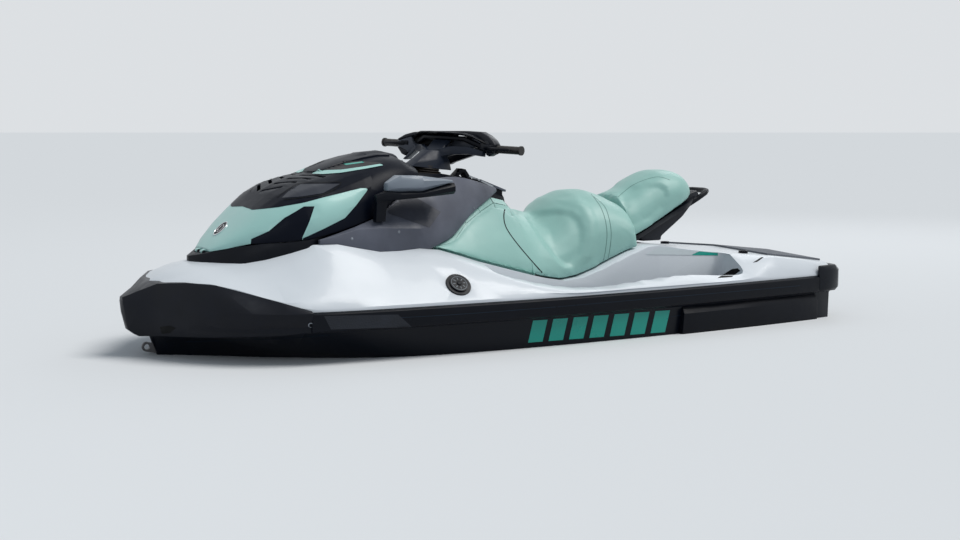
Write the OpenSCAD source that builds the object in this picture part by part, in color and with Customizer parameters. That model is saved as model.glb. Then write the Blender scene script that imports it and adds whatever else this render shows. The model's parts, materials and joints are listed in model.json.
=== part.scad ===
// Personal watercraft for three riders, afloat.
// +X is the bow, +Y is port, +Z is up; the origin is amidships on the waterline.

/* [Hull] */
// Length from the nose to the stern bumpers
craft_length = 3316; // [3000:2:3500]
// Widest beam, over the rub rails
beam = 1250; // [1120:2:1360]
// Depth of the keel under the waterline
keel_depth = 250; // [200:1:300]
// Height of the joint between hull and deck
bond_z = 205; // [190:1:225]
// Height of the rub rail
rail_h = 78; // [50:1:100]
// Thickness of the rub rail
rail_t = 14; // [8:1:24]

/* [Deck] */
// Depth of the footwell below the joint
well_depth = 110; // [80:1:125]
// Width of a footwell
well_w = 200; // [150:1:220]
// Thickness of the footwell moulding
well_t = 8; // [5:1:14]
// Thickness of the foot mats
mat_t = 8; // [4:1:12]
// Diameter of the fuel filler cap
fuel_cap_d = 104; // [80:1:120]

/* [Hood] */
// Thickness of the hood shell
hood_t = 12; // [8:1:18]
// Thickness of the storage bin wall
bin_t = 5; // [3:1:8]
// Depth of the front storage bin
bin_depth = 330; // [200:5:380]

/* [Steering] */
// Length of the handlebar over the grips
bar_span = 782; // [700:2:820]
// Diameter of the handlebar tube
bar_d = 23; // [20:0.5:26]
// Diameter of a grip
grip_d = 34; // [30:0.5:40]
// Length of a grip
grip_len = 126; // [100:1:140]
// Turn to port that the handlebar is stored at, in degrees
steer_rest = 23; // [0:1:24]
// Rearward lean of the steering axis, in degrees
steer_tilt = 6; // [0:1:12]
// Share of the handlebar's turn that reaches the jet nozzle
nozzle_ratio = 0.9; // [0.6:0.05:1]

/* [Jet pump] */
// Outside radius of the pump housing
pump_r = 95; // [85:1:105]
// Wall of the pump housing
pump_t = 9; // [6:1:12]
// Height of the pump's axis
pump_z = -135; // [-145:1:-125]
// Number of impeller blades
blades = 3; // [3:1:5]
// Number of stator vanes
vanes = 8; // [6:1:12]
// Radius of the nozzle's outlet
outlet_r = 44; // [38:1:50]

/* [Fittings] */
// Bore of the tow eye and of the bow eye
eye_d = 22; // [16:1:30]
// Thickness of the ride plate
plate_t = 8; // [5:1:12]
// Width of the boarding step
step_w = 300; // [220:5:340]
// Diameter of the deck's accessory sockets
socket_d = 26; // [18:1:34]

/* [Hidden] */

// Length and half beam that the lines below are drawn for
lines_length = 3316;
lines_half = 625;
// Gap between pieces that rest on each other, and the running gap on a pin
seat_gap = 0.3;
run_gap = 0.06;
$fn = 40;

// Colours
navy = [0.06, 0.09, 0.13];
white = [0.86, 0.88, 0.9];
mint = [0.62, 0.79, 0.75];
grey = [0.34, 0.36, 0.41];
silver = [0.58, 0.62, 0.65];
black = [0.05, 0.05, 0.06];

// Lines of the hull: [station, value] from stern to bow
keel_line = [[-1600, 1], [-400, 1], [500, 1], [900, 0.9], [1200, 0.66], [1400, 0.32], [1519, 0],
  [1546, -0.3], [1590, -0.7]];
keel_flat_line = [[-1600, 150], [-1080, 150], [-700, 100], [0, 14], [1590, 10]];
chine_y_line = [[-1600, 420], [-1100, 480], [-400, 535], [0, 548], [500, 530], [900, 440],
  [1200, 300], [1400, 160], [1520, 60], [1590, 24]];
chine_z_line = [[-1600, -66], [-400, -55], [0, -45], [500, -32], [900, 0], [1200, 40],
  [1400, 85], [1520, 130], [1590, 186]];
bond_line = [[-1600, 455], [-1480, 478], [-1106, 528], [-730, 572], [-390, 602], [35, 625],
  [441, 625], [767, 620], [1000, 602], [1095, 585], [1231, 520], [1330, 440],
  [1409, 362], [1472, 268], [1542, 136], [1590, 62]];
side_line = [[-1600, 430], [-1106, 505], [-390, 575], [35, 592], [441, 592], [900, 560],
  [1095, 510], [1231, 430], [1409, 270], [1542, 90], [1590, 34]];

// Lines of the deck above the joint
shoulder_y_line = [[-1600, 425], [-1500, 432], [-1257, 448], [-1060, 505], [-727, 552],
  [-390, 582], [12, 600], [179, 566], [331, 505], [500, 470], [711, 470], [1000, 500],
  [1090, 520], [1180, 530], [1294, 458], [1396, 352], [1472, 250], [1540, 112], [1590, 50]];
shoulder_z_line = [[-1600, 246], [-1500, 262], [-1257, 302], [-1060, 228], [-727, 222],
  [-390, 224], [12, 230], [179, 268], [331, 326], [500, 350], [711, 345], [1000, 312],
  [1090, 270], [1180, 243], [1294, 278], [1396, 306], [1472, 306], [1540, 290], [1590, 250]];
inner_y_line = [[-1600, 385], [-1257, 392], [-1080, 372], [-853, 332], [-650, 300],
  [-500, 290], [-218, 308], [55, 350], [264, 380], [496, 382], [711, 398], [976, 382],
  [1135, 312], [1253, 242], [1345, 200], [1420, 150], [1500, 80], [1590, 28]];
inner_z_line = [[-1600, 264], [-1500, 276], [-1257, 306], [-1080, 315], [-853, 342],
  [-650, 371], [-500, 327], [-384, 280], [-218, 236], [-82, 254], [55, 288], [264, 343],
  [496, 408], [711, 404], [976, 445], [1135, 394], [1253, 368], [1345, 352], [1420, 345],
  [1500, 314], [1590, 250]];
centre_z_line = [[-1600, 282], [-1500, 292], [-1257, 320], [-1080, 326], [-853, 350],
  [-650, 371], [-500, 327], [-384, 280], [-218, 236], [-82, 254], [55, 288], [264, 343],
  [496, 408], [711, 404], [1000, 430], [1200, 400],
  [1300, 385], [1380, 372], [1450, 345], [1540, 300], [1590, 254]];

// Lines of the hood: half width at its foot, foot height and crown height
hood_foot_y = [[480, 256], [600, 298], [682, 331], [750, 350], [865, 364], [976, 364], [1030, 352],
  [1130, 305], [1211, 246], [1280, 170], [1325, 90]];
hood_foot_z = [[480, 676], [600, 617], [682, 561], [750, 534], [865, 498], [976, 471], [1030, 461],
  [1130, 451], [1211, 446], [1280, 424], [1325, 408]];
hood_crown_z = [[480, 750], [520, 778], [600, 786], [700, 768], [760, 751], [815, 732], [854, 716],
  [900, 704], [969, 690], [1080, 640], [1164, 568], [1246, 492], [1300, 440], [1325, 420]];

// Lines of the seats: half width, foot and crown
seat_top_line = [[-604, 566], [-560, 580], [-500, 606], [-440, 619], [-390, 618], [-320, 603],
  [-250, 562], [-183, 514], [-130, 516], [-70, 560], [-36, 590]];
pass_w_line = [[-1070, 66], [-1056, 106], [-1030, 140], [-980, 168], [-900, 184], [-750, 192],
  [-650, 200], [-606, 204]];
pass_top_line = [[-1070, 606], [-1056, 640], [-1030, 668], [-980, 692], [-920, 698], [-852, 696],
  [-740, 652], [-676, 612], [-640, 598], [-606, 592]];
pass_foot_line = [[-1070, 588], [-1000, 558], [-885, 512], [-800, 472], [-700, 422], [-606, 384]];

// Slope of a table at its point i
function grade(t, i) = let(a = max(i - 1, 0), b = min(i + 1, len(t) - 1))
  i == 0 || i == len(t) - 1 ? (t[b][1] - t[a][1]) / (t[b][0] - t[a][0])
  : ((t[i][1] - t[a][1]) / (t[i][0] - t[a][0]) + (t[b][1] - t[i][1]) / (t[b][0] - t[i][0])) / 2;
function span_at(t, x, i = 0) = i >= len(t) - 2 || x <= t[i + 1][0] ? i : span_at(t, x, i + 1);
// Smooth curve through a table of [station, value]
function curve(t, x) = let(
    i = span_at(t, x),
    h = t[i + 1][0] - t[i][0],
    u = min(1, max(0, (x - t[i][0]) / h)))
  t[i][1] * (1 + 2 * u) * (1 - u) * (1 - u) + grade(t, i) * h * u * (1 - u) * (1 - u)
  + t[i + 1][1] * u * u * (3 - 2 * u) - grade(t, i + 1) * h * u * u * (1 - u);
// A drawn station in the real craft, and its lines there
function st(x) = x * craft_length / lines_length;
function drawn(x) = x * lines_length / craft_length;
function breadth(t, x) = curve(t, drawn(x)) * beam / 2 / lines_half;
function level(t, x) = curve(t, drawn(x));
function wide(y) = y * beam / 2 / lines_half;
function steps(a, b, n) = [for (i = [0:n]) a + (b - a) * i / n];

// Mirrors a half section, so that it runs up the port side and down the other
function whole(half) = concat(half, [for (i = [len(half) - 1:-1:0]) [-half[i][0], half[i][1]]]);
function at_station(x, ring) = [for (p = ring) [x, p[0], p[1]]];
// Half section of an arch of half width w, from foot z0 to crown z1
function arch(w, z0, z1, n = 8, e = 0.7, crown = 6) =
  [for (i = [0:n]) let(a = 90 * i / n)
    [max(crown, w * pow(cos(a), e)), z0 + (z1 - z0) * pow(sin(a), e)]];

// Closed skin over rings that all have the same even number of points; the quads of the
// ring edges in turned are split along their other diagonal
module skin(rings, turned = []) {
  n = len(rings[0]);
  m = len(rings);
  sides = [for (j = [0:m - 2], i = [0:n - 1])
    let(a = j * n + i, b = j * n + (i + 1) % n)
    each (len(search(i, turned)) > 0 ? [[a, a + n, b], [b, a + n, b + n]] : [[a, b + n, b], [a, a + n, b + n]])];
  first = [for (i = [0:n / 2 - 2]) each [[i, i + 1, n - 1 - i], [i + 1, n - 2 - i, n - 1 - i]]];
  last = [for (f = first) [for (k = [2:-1:0]) f[k] + (m - 1) * n]];
  polyhedron([for (r = rings) each r], concat(sides, first, last));
}
// Both sides of the craft
module sides() {
  children();
  mirror([0, 1, 0]) children();
}
// Bar with round ends from a to b
module rod(a, b, r, faces = 12) {
  hull() {
    translate(a) sphere(r, $fn = faces);
    translate(b) sphere(r, $fn = faces);
  }
}

hull_stations = [for (x = concat([-1600], steps(-1500, 900, 14), [1000, 1095, 1160, 1231, 1330, 1409,
  1472, 1519, 1542, 1566, 1590])) st(x)];

// Hull form
function keel_z(x) = -keel_depth * level(keel_line, x);
function keel_half(x) = breadth(keel_flat_line, x);
function bond_y(x) = breadth(bond_line, x) - rail_t;
function side_y(x) = breadth(side_line, x);
function hull_half(x) = let(
    kz = keel_z(x), kf = keel_half(x),
    cy = max(breadth(chine_y_line, x), kf + 8), cz = level(chine_z_line, x),
    rail_z = bond_z - rail_h)
  [[kf, kz], [kf + (cy - kf) * 0.5, kz + (cz - kz) * 0.46], [cy, cz],
    [cy + (side_y(x) - cy) * 0.4, cz + 26], [side_y(x), rail_z - 6],
    [bond_y(x), rail_z], [bond_y(x), bond_z]];
module hull_form() {
  skin([for (x = hull_stations) at_station(x, whole(hull_half(x)))]);
}

// Deck form, from the joint up
function shoulder_y(x) = breadth(shoulder_y_line, x);
function inner_y(x) = breadth(inner_y_line, x);
function deck_half(x) = let(
    by = bond_y(x), sy = min(by - 4, shoulder_y(x)), sz = level(shoulder_z_line, x),
    iy = min(sy - 6, inner_y(x)), iz = level(inner_z_line, x), cz = level(centre_z_line, x))
  [[by, bond_z], [by - 2, bond_z + 12], [(by + sy) / 2 + 4, (bond_z + sz) / 2 + 4],
    [sy, sz], [(sy + iy) / 2, (sz + iz) / 2 + 3], [iy, iz], [iy * 0.5, (iz + cz) / 2],
    [8, cz]];
deck_stations = [for (x = concat(steps(-1600, -1250, 2), steps(-1180, 1180, 26),
  [1250, 1330, 1409, 1472, 1519, 1556])) st(x)];
function deck_span(x, i = 0) =
  i >= len(deck_stations) - 2 || x <= deck_stations[i + 1] ? i : deck_span(x, i + 1);
// Point of the deck's line k at station x, on the flat between its stations
function deck_at(x, k) = let(i = deck_span(x), a = deck_stations[i], b = deck_stations[i + 1])
  deck_half(a)[k] * (b - x) / (b - a) + deck_half(b)[k] * (x - a) / (b - a);
function deck_top(x) = max(deck_at(x, 5)[1], deck_at(x, 7)[1]);
function fine(a, b) = concat([a], [for (i = [0:len(deck_stations) - 2], v = [deck_stations[i],
  (deck_stations[i] + deck_stations[i + 1]) / 2]) if (v > a + 2 && v < b - 2) v], [b]);
function between(a, b) = concat([a], [for (v = deck_stations) if (v > a + 2 && v < b - 2) v], [b]);
module deck_form() {
  skin([for (x = deck_stations) at_station(x, whole(deck_half(x)))]);
}

// Footwell: its floor, ends and rounded corners, grown by g
well_front = st(230);
well_rear = st(-1010);
well_mid = 415;
function well_y(x) = breadth([[-1010, 392], [-600, 412], [-200, 428], [230, 452]], x);
module footwell(g) {
  r = 40;
  for (span = [[0, 1], [1, 2], [2, 3], [3, 4]]) {
    xs = steps(well_rear, well_front, 4);
    hull() for (k = span) {
      w = (k == 4 ? 0.62 : 1) * well_w / 2 + g;
      x = k == 0 ? xs[k] - g : k == 4 ? xs[k] + g : xs[k];
      for (s = [-1, 1]) translate([x, well_y(xs[k]) + s * (w - r), bond_z - well_depth - g])
        cylinder(r = r, h = 400 + 2 * g, $fn = 12);
    }
  }
}

bay = [[st(-270), -215, -130], [st(370), 215, bond_z + 1]];
module engine_bay() {
  translate(bay[0]) cube(bay[1] - bay[0]);
}

tunnel_front = st(-1130);
tunnel_half = 135;
tunnel_roof = 26;
intake_front = st(-700);
intake_half = 72;
module tunnel() {
  translate([-2000, -tunnel_half, -keel_depth - 60])
    cube([tunnel_front + 2000, 2 * tunnel_half, tunnel_roof + keel_depth + 60]);
  hull() {
    translate([tunnel_front + 4, -intake_half, -keel_depth - 60])
      cube([intake_front - tunnel_front - 4, 2 * intake_half, 61]);
    translate([tunnel_front - 1, 0, pump_z]) rotate([0, 90, 0])
      cylinder(r = pump_r - pump_t - 6, h = 2, $fn = 20);
  }
}
shaft_r = 14;
module shaft_way() {
  translate([tunnel_front, 0, pump_z]) rotate([0, 90, 0])
    cylinder(r = shaft_r + 8, h = bay[0][0] - tunnel_front + 40, $fn = 12);
}

// Lifting strakes on the bottom
function strake_at(x, u) = let(h = hull_half(x), a = h[0], b = h[2]) [x, a[0] + (b[0] - a[0]) * u,
  a[1] + (b[1] - a[1]) * u];
module strake(u, from, to) {
  xs = steps(from, to, 4);
  for (i = [0:3]) hull() {
    translate(strake_at(xs[i], u)) sphere(9, $fn = 6);
    translate(strake_at(xs[i + 1], u)) sphere(9, $fn = 6);
  }
}
module lower_hull() color(navy) difference() {
  union() {
    hull_form();
    sides() {
      strake(0.42, st(-1500), st(900));
      strake(0.72, st(-1500), st(700));
    }
  }
  sides() footwell(well_t);
  engine_bay();
  tunnel();
  shaft_way();
  bin_block(2, -2);
}

// Accessory sockets in the rear deck
socket_x = st(-1180);
socket_y = 306;
socket_h = 30;
socket_top = level(inner_z_line, st(-1180)) + 14;
module socket_places() {
  for (s = [-1, 1]) translate([socket_x, s * socket_y, socket_top - socket_h]) children();
}

module deck() color(white) difference() {
  union() {
    difference() {
      deck_form();
      sides() footwell(0);
    }
    difference() {
      sides() footwell(well_t);
      sides() footwell(0);
      translate([-2000, -1000, bond_z]) cube([4000, 2000, 1000]);
    }
  }
  bin_block(2, -2);
  fuel_cap_place() translate([0, 0, -14]) cylinder(r = fuel_cap_d / 2 + 1, h = 60);
  socket_places() cylinder(r = socket_d / 2 + 9, h = 100);
}

// Storage bin under the hood
bin_x = [st(720), st(1160)];
bin_half = [190, 130];
bin_top = 440;
module bin_block(g, lift) {
  r = 30;
  hull() for (k = [0, 1], s = [-1, 1])
    translate([bin_x[k] + (k == 0 ? r : -r), s * (bin_half[k] - r), bin_top - bin_depth + lift])
      cylinder(r = r + g, h = bin_depth + 60, $fn = 16);
}
module storage_bin() color(black) difference() {
  bin_block(0, 0);
  bin_block(-bin_t, bin_t);
  translate([0, -500, bin_top]) cube([2000, 1000, 200]);
}

// Fuel filler cap on the port shoulder
module fuel_cap_place() {
  translate([st(459), wide(552), 273]) rotate([-46, 0, 0]) children();
}
module fuel_cap() color(black) fuel_cap_place() {
  translate([0, 0, -13.7]) cylinder(r = fuel_cap_d / 2, h = 20);
  translate([0, 0, 6.3]) cylinder(r = fuel_cap_d / 2 - 14, h = 6);
}

// Black base round the hood's foot, drawn to a point at the front
tray_tip = st(1385);
function tray_top(x) = x > st(1326) ? 388 : level(hood_foot_z, x) - 3;
module tray_slice(x) {
  panel_room = wide(x < st(880) ? 296 : x < st(990) ? 338 : 1000);
  oy = x > st(1326) ? 4 : breadth(hood_foot_y, x);
  ly = min(inner_y(x) + 2, oy + 40, panel_room);
  translate([x, 0, 0]) rotate([90, 0, 90]) linear_extrude(1)
    polygon(whole([[x > st(1326) ? 16 : ly, level(inner_z_line, x) - 12], [min(oy + 8, panel_room), tray_top(x)]]));
}
// Hood hinge: barrels on the hood turn on pins between lugs on the tray
hood_axis = [st(1335), 404];
hood_barrels = [20, 44];
module hood_pin_place() {
  sides() translate([hood_axis[0], 0, hood_axis[1]]) rotate([-90, 0, 0]) children();
}
module storage_tray() color(black) {
  difference() {
    for (xs = [concat(steps(st(705), st(1325), 8), [tray_tip])], i = [0:len(xs) - 2]) hull() {
      tray_slice(xs[i]);
      tray_slice(xs[i + 1]);
    }
    deck_form();
    bin_block(0, -20);
    sides() translate([hood_axis[0] - 24, hood_barrels[0] - 1.5, hood_axis[1] - 12])
      cube([36, hood_barrels[1] - hood_barrels[0] + 3, 40]);
  }
  sides() for (y = [hood_barrels[0] - 9, hood_barrels[1] + 1.5]) hull() {
    translate([hood_axis[0], y + 7.5, hood_axis[1]]) rotate([90, 0, 0]) cylinder(r = 7, h = 7.5, $fn = 20);
    translate([hood_axis[0] - 7, y, hood_axis[1] - 14]) cube([14, 7.5, 2]);
  }
  hood_pin_place() translate([0, 0, hood_barrels[0] - 4]) cylinder(r = 4, h = hood_barrels[1] - hood_barrels[0] + 8, $fn = 24);
}

// Hood: a shell in two colours over the bin
hood_stations = [for (x = concat(steps(482, 1280, 12), [1325])) st(x)];
module hood_form(g) {
  skin([for (x = hood_stations) at_station(x + (x > st(1300) ? min(g, 0) : 0),
    whole(arch(breadth(hood_foot_y, x) + g, level(hood_foot_z, x) - (g < 0 ? 1 : 0),
      level(hood_crown_z, x) + g, 7)))]);
}
module hood_wall(g) difference() {
  hood_form(g);
  difference() {
    hood_form(g - hood_t);
    translate([st(1290), -500, 0]) cube([200, 1000, 1000]);
  }
}
// Mint area, seen from the side and from above
module mint_side() {
  rotate([90, 0, 0]) translate([0, 0, -500]) linear_extrude(1000)
    polygon([[st(1400), 300], [st(1400), 800], [st(724), 800], [st(724), 690], [st(751), 645],
      [st(860), 542], [st(1034), 468], [st(1060), 300]]);
}
cowl_edge = [[1128, 0], [1120, 70], [1076, 165], [980, 240], [880, 268], [700, 284]];
cap_edge = [[872, 0], [866, 55], [846, 92], [770, 122], [600, 138], [560, 138]];
// Outline in plan from a list for the port side, set back by g
module plan(edge, g) {
  translate([0, 0, 300]) linear_extrude(700) polygon([for (p = concat(edge,
    [for (i = [len(edge) - 1:-1:1]) [edge[i][0], -edge[i][1]]])) [st(p[0]) - g, wide(p[1])]]);
}
module intake_side(g) {
  for (s = [-1, 1]) rotate([90, 0, 0]) translate([0, 0, s * 330 - 120]) linear_extrude(240)
    polygon([for (p = [[1216, 400], [1208, 464], [1150, 496], [1090, 548], [1017, 590], [979, 590], [1004, 540],
      [1036, 470], [1036, 400]]) [st(p[0]), p[1]]]);
}
module hood_shell() color(mint) {
  difference() {
    intersection() {
      hood_wall(0);
      mint_side();
    }
    plan(cowl_edge, 0);
    intake_side(0);
  }
  difference() {
    sides() hull() {
      translate([hood_axis[0], hood_barrels[1], hood_axis[1]]) rotate([90, 0, 0])
        cylinder(r = 8, h = hood_barrels[1] - hood_barrels[0], $fn = 24);
      translate([st(1314), hood_barrels[0], 411]) cube([4, hood_barrels[1] - hood_barrels[0], 5]);
    }
    hood_pin_place() cylinder(r = 4 + run_gap, h = 80, $fn = 24);
  }
}
module vent_slots() {
  for (s = [-1, 1], i = [0:3]) hull() {
    translate([st(1076 - 54 * i), s * (20 + 5 * i), 500]) cylinder(r = 8, h = 400, $fn = 6);
    translate([st(1036 - 54 * i), s * (126 + 20 * i), 500]) cylinder(r = 8, h = 400, $fn = 6);
  }
}
// Stations of the visor over the instruments: [station, half width, foot, crown]
visor_rows = [[704, 64, 752, 770], [640, 98, 752, 793], [560, 112, 745, 800], [505, 112, 735, 788],
  [486, 104, 730, 762]];
module visor_slice(p) {
  translate([st(p[0]), 0, 0]) rotate([90, 0, 90]) linear_extrude(1)
    polygon(whole(arch(wide(p[1]), p[2], p[3], 4, 0.7)));
}
module hood_cowl() color(black) {
  difference() {
    hood_wall(0);
    difference() {
      mint_side();
      plan(cowl_edge, 2);
      intake_side(0);
    }
    vent_slots();
  }
  intersection() {
    hood_form(6);
    plan(cap_edge, 0);
    translate([0, -500, 690]) cube([4000, 1000, 500]);
  }
  for (i = [0:len(visor_rows) - 2]) hull() {
    visor_slice(visor_rows[i]);
    visor_slice(visor_rows[i + 1]);
  }
}
module gauge_display() color(black) {
  translate([st(482) - 8.3, -80, 692]) cube([8, 160, 66]);
}

// Grey side panels: [station, half width, height] of the foot, ridge and top
panel_t = 20;
foot_y = [[40, 122], [100, 172], [246, 262], [369, 330], [496, 384], [711, 402], [976, 384]];
foot_z = [[40, 618], [100, 596], [246, 530], [369, 447], [496, 416], [711, 408], [976, 452]];
ridge_y = [[40, 121], [150, 192], [300, 286], [400, 342], [500, 381], [600, 389], [814, 392], [976, 383]];
ridge_z = [[40, 626], [150, 612], [300, 565], [400, 521], [500, 492], [600, 494], [814, 498], [976, 457]];
top_y = [[40, 118], [150, 165], [296, 215], [450, 262], [600, 305], [682, 338], [865, 372],
  [976, 381]];
top_z = [[40, 634], [150, 664], [296, 690], [450, 676], [600, 612], [682, 556], [865, 492],
  [976, 462]];
module side_panel() skin([for (x = concat(steps(st(40), st(440), 8), between(st(496), st(976)))) let(
    a = x < st(480) ? [breadth(foot_y, x), level(foot_z, x)] : deck_at(x, 5) + [1, 0.4],
    b = [breadth(ridge_y, x) + 2, level(ridge_z, x)],
    c = [breadth(top_y, x), level(top_z, x)],
    t = min(panel_t, (c[1] - a[1]) * 1.5))
  at_station(x, [a, b, c, [c[0] - t, c[1] - 3], [b[0] - t, b[1] - 3], [a[0] - t, a[1] + 3]])]);
module side_panels() color(grey) sides() side_panel();

// Mint skirt between panel, seat and deck
skirt_y = [[-33, 112], [0, 116], [40, 125], [60, 142], [100, 172], [246, 258], [369, 326], [490, 379]];
skirt_z = [[-33, 540], [0, 574], [40, 600], [60, 602], [100, 588], [246, 523], [369, 440], [490, 411]];
seat_bulge = [[-604, 0.9], [-400, 0.9], [-183, 1.1], [-36, 1.4], [246, 1.8], [490, 1.9]];
module knee_skirt() color(mint) sides() skin([for (x = between(st(-33), st(488))) let(
    a = deck_at(x, 5) + [-1, 0.4],
    c = [breadth(skirt_y, x), max(a[1] + 3, level(skirt_z, x) - 3)],
    e = level(seat_bulge, x),
    outer = [for (i = [0:5]) [c[0] + (a[0] - c[0]) * pow(cos(18 * i), e), a[1] + (c[1] - a[1]) * pow(sin(18 * i), e)]])
  at_station(x, concat(outer, [for (i = [5:-1:0]) outer[i] - [panel_t, i == 0 ? -0.6 : 0]]))]);

// Core of the console between the panels, with the glovebox well
console_w = [[-30, 92], [100, 128], [300, 176], [470, 226]];
console_foot = [[-30, 270], [470, 412]];
console_top = [[-30, 612], [104, 664], [250, 698], [440, 708], [470, 708]];
glove_x = [st(-18), st(92)];
glove_half = 62;
glove_depth = 110;
module glove_block(g, lift) {
  translate([glove_x[0] - g, -glove_half - g, 620 - glove_depth + lift])
    cube([glove_x[1] - glove_x[0] + 2 * g, 2 * (glove_half + g), 300]);
}
module console() color(black) difference() {
  union() {
    skin([for (x = between(st(-30), st(470))) at_station(x,
      whole(arch(breadth(console_w, x), deck_top(x) + 0.4,
        level(console_top, x), 6, 0.5)))]);
    translate(steer_pivot) rotate([0, -steer_tilt, 0]) translate([0, 0, -40]) cylinder(r = 52, h = 43.7);
    translate([0, 26, 0]) rotate([90, 0, 0]) linear_extrude(52) difference() {
      polygon([for (p = [[106, 652], [106, 668], [140, 714], [158, 718], [190, 688], [190, 660]]) [st(p[0]), p[1]]]);
      polygon([for (p = [[132, 676], [146, 700], [156, 702], [172, 687], [160, 680]]) [st(p[0]), p[1]]]);
    }
    lid_lugs();
  }
  glove_block(4, -4);
}
lid_slope = -21;
module lid_place() {
  translate([st(96), 0, 664]) rotate([0, lid_slope, 0]) children();
}
module glovebox_bin() color(black) difference() {
  glove_block(3.7, -3.7);
  glove_block(0, 0);
  lid_place() translate([-400, -100, -0.3]) cube([600, 200, 400]);
}
// Lid hinge: barrels on the lid turn on pins between lugs on the console
lid_axis = [3, 6];
lid_barrels = [20, 48];
module lid_lugs() lid_place() sides() {
  for (y = [lid_barrels[0] - 7.5, lid_barrels[1] + 1.5]) translate([lid_axis[0], y, lid_axis[1]]) {
    rotate([-90, 0, 0]) cylinder(r = 4.5, h = 6, $fn = 24);
    translate([-4.5, 0, -16]) cube([9, 6, 16]);
  }
  translate([lid_axis[0], lid_barrels[0] - 3, lid_axis[1]]) rotate([-90, 0, 0])
    cylinder(r = 2, h = lid_barrels[1] - lid_barrels[0] + 6, $fn = 24);
}
module glovebox_lid() color(grey) lid_place() difference() {
  union() {
    translate([-140, -72, 0]) cube([136, 144, 9]);
    sides() translate([0, lid_barrels[0], 0]) {
      translate([lid_axis[0], 0, lid_axis[1]]) rotate([-90, 0, 0])
        cylinder(r = 4.5, h = lid_barrels[1] - lid_barrels[0], $fn = 24);
      translate([-8, 0, 2.5]) cube([11, lid_barrels[1] - lid_barrels[0], 5]);
    }
  }
  translate([lid_axis[0], 0, lid_axis[1]]) rotate([90, 0, 0])
    cylinder(r = 2 + run_gap, h = 200, center = true, $fn = 24);
}

// Steering: drawn straight ahead about the axis, then stored turned to port
steer_pivot = [st(335), 0, 712];
module steered() {
  translate(steer_pivot) rotate([0, -steer_tilt, 0]) rotate([0, 0, steer_rest]) children();
}
bar_back = -172;
bar_z = 118;
module riser_slice(z, rear, front, w, r) {
  for (p = [[front, 0.3], [(front + rear) / 2, 0.9], [rear, 1]], s = [-1, 1])
    translate([p[0], s * p[1] * w, z]) cylinder(r = r, h = 2, $fn = 8);
}
module steering_riser() color(black) steered() {
  translate([-20, 0, 4]) cylinder(r = 56, h = 10);
  hull() {
    riser_slice(12, -100, 92, 56, 14);
    riser_slice(50, -96, 34, 46, 14);
  }
  hull() {
    riser_slice(50, -96, 34, 46, 14);
    riser_slice(88, -66, -14, 34, 12);
  }
  // Clamps of the bar
  hull() for (s = [-1, 1]) {
    translate([-60, s * 34, 86]) cylinder(r = 12, h = 2, $fn = 24);
    translate([-112, s * 34, 138.2]) cylinder(r = 12, h = 2, $fn = 24);
  }
  // Arms that sweep out under the bar
  for (s = [-1, 1], i = [0:len(arm_rows) - 2]) hull() for (k = [i, i + 1])
    translate([arm_rows[k][0], s * arm_rows[k][1], arm_rows[k][2]]) cube([34 - 4 * k, 8, arm_rows[k][3]], center = true);
}
// Arms of the riser: [forward, out, up, height]
arm_rows = [[-50, 24, 76, 34], [-92, 88, 98, 34], [-128, 140, 102, 30], [-160, 196, 93, 22]];
bar_points = [[-112, 0, 152], [-126, 110, 152], [bar_back, 200, bar_z], [bar_back, bar_span / 2 - 20, bar_z]];
module handlebar() color(black) steered() for (s = [-1, 1], i = [0:2]) {
  a = [bar_points[i][0], s * bar_points[i][1], bar_points[i][2]];
  b = [bar_points[i + 1][0], s * bar_points[i + 1][1], bar_points[i + 1][2]];
  rod(a, b, bar_d / 2, 8);
}
// Hoop over the bar: [forward, out, up, depth]
cover_rows = [[-104, 0, 172, 62], [-108, 60, 172, 60], [-118, 116, 170.5, 56], [-140, 156, 163, 50], [-158, 186, 148.5, 40],
  [-168, 209.7, 137.5, 32]];
module handlebar_cover() color(black) steered() for (s = [-1, 1], i = [0:len(cover_rows) - 2]) hull() for (k = [i, i + 1])
  translate([cover_rows[k][0], s * cover_rows[k][1], cover_rows[k][2]]) rotate([90, 0, 0]) scale([cover_rows[k][3] / 12, 1, 1])
    cylinder(r = 6, h = 4, center = true, $fn = 10);
module grips() color(black) steered() for (s = [-1, 1])
  translate([bar_back, s * (bar_span / 2 - grip_len), bar_z]) rotate([-90 * s, 0, 0]) difference() {
    union() {
      cylinder(r = grip_d / 2, h = grip_len);
      translate([0, 0, grip_len - 8]) cylinder(r = grip_d / 2 + 3, h = 8);
    }
    translate([0, 0, -1]) cylinder(r = bar_d / 2 + 0.3, h = grip_len - 4);
  }
// Switch housings with the throttle and brake levers
module levers() color(black) steered() for (s = [-1, 1]) difference() {
  union() {
    hull() {
      translate([bar_back, s * 236, bar_z]) rotate([90, 0, 0]) cylinder(r = 22, h = 48, center = true, $fn = 16);
      translate([bar_back + 30, s * 236, bar_z + 4]) rotate([90, 0, 0]) cylinder(r = 12, h = 40, center = true, $fn = 12);
    }
    hull() {
      translate([bar_back + 34, s * 240, bar_z]) sphere(9, $fn = 8);
      translate([bar_back + 52, s * 268, bar_z - 2]) sphere(8, $fn = 8);
    }
    hull() {
      translate([bar_back + 52, s * 268, bar_z - 2]) sphere(8, $fn = 8);
      translate([bar_back + 42, s * 352, bar_z - 2]) sphere(6, $fn = 8);
    }
  }
  translate([bar_back, s * 236, bar_z]) rotate([90, 0, 0]) cylinder(r = bar_d / 2 + 0.3, h = 80, center = true);
}

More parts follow.
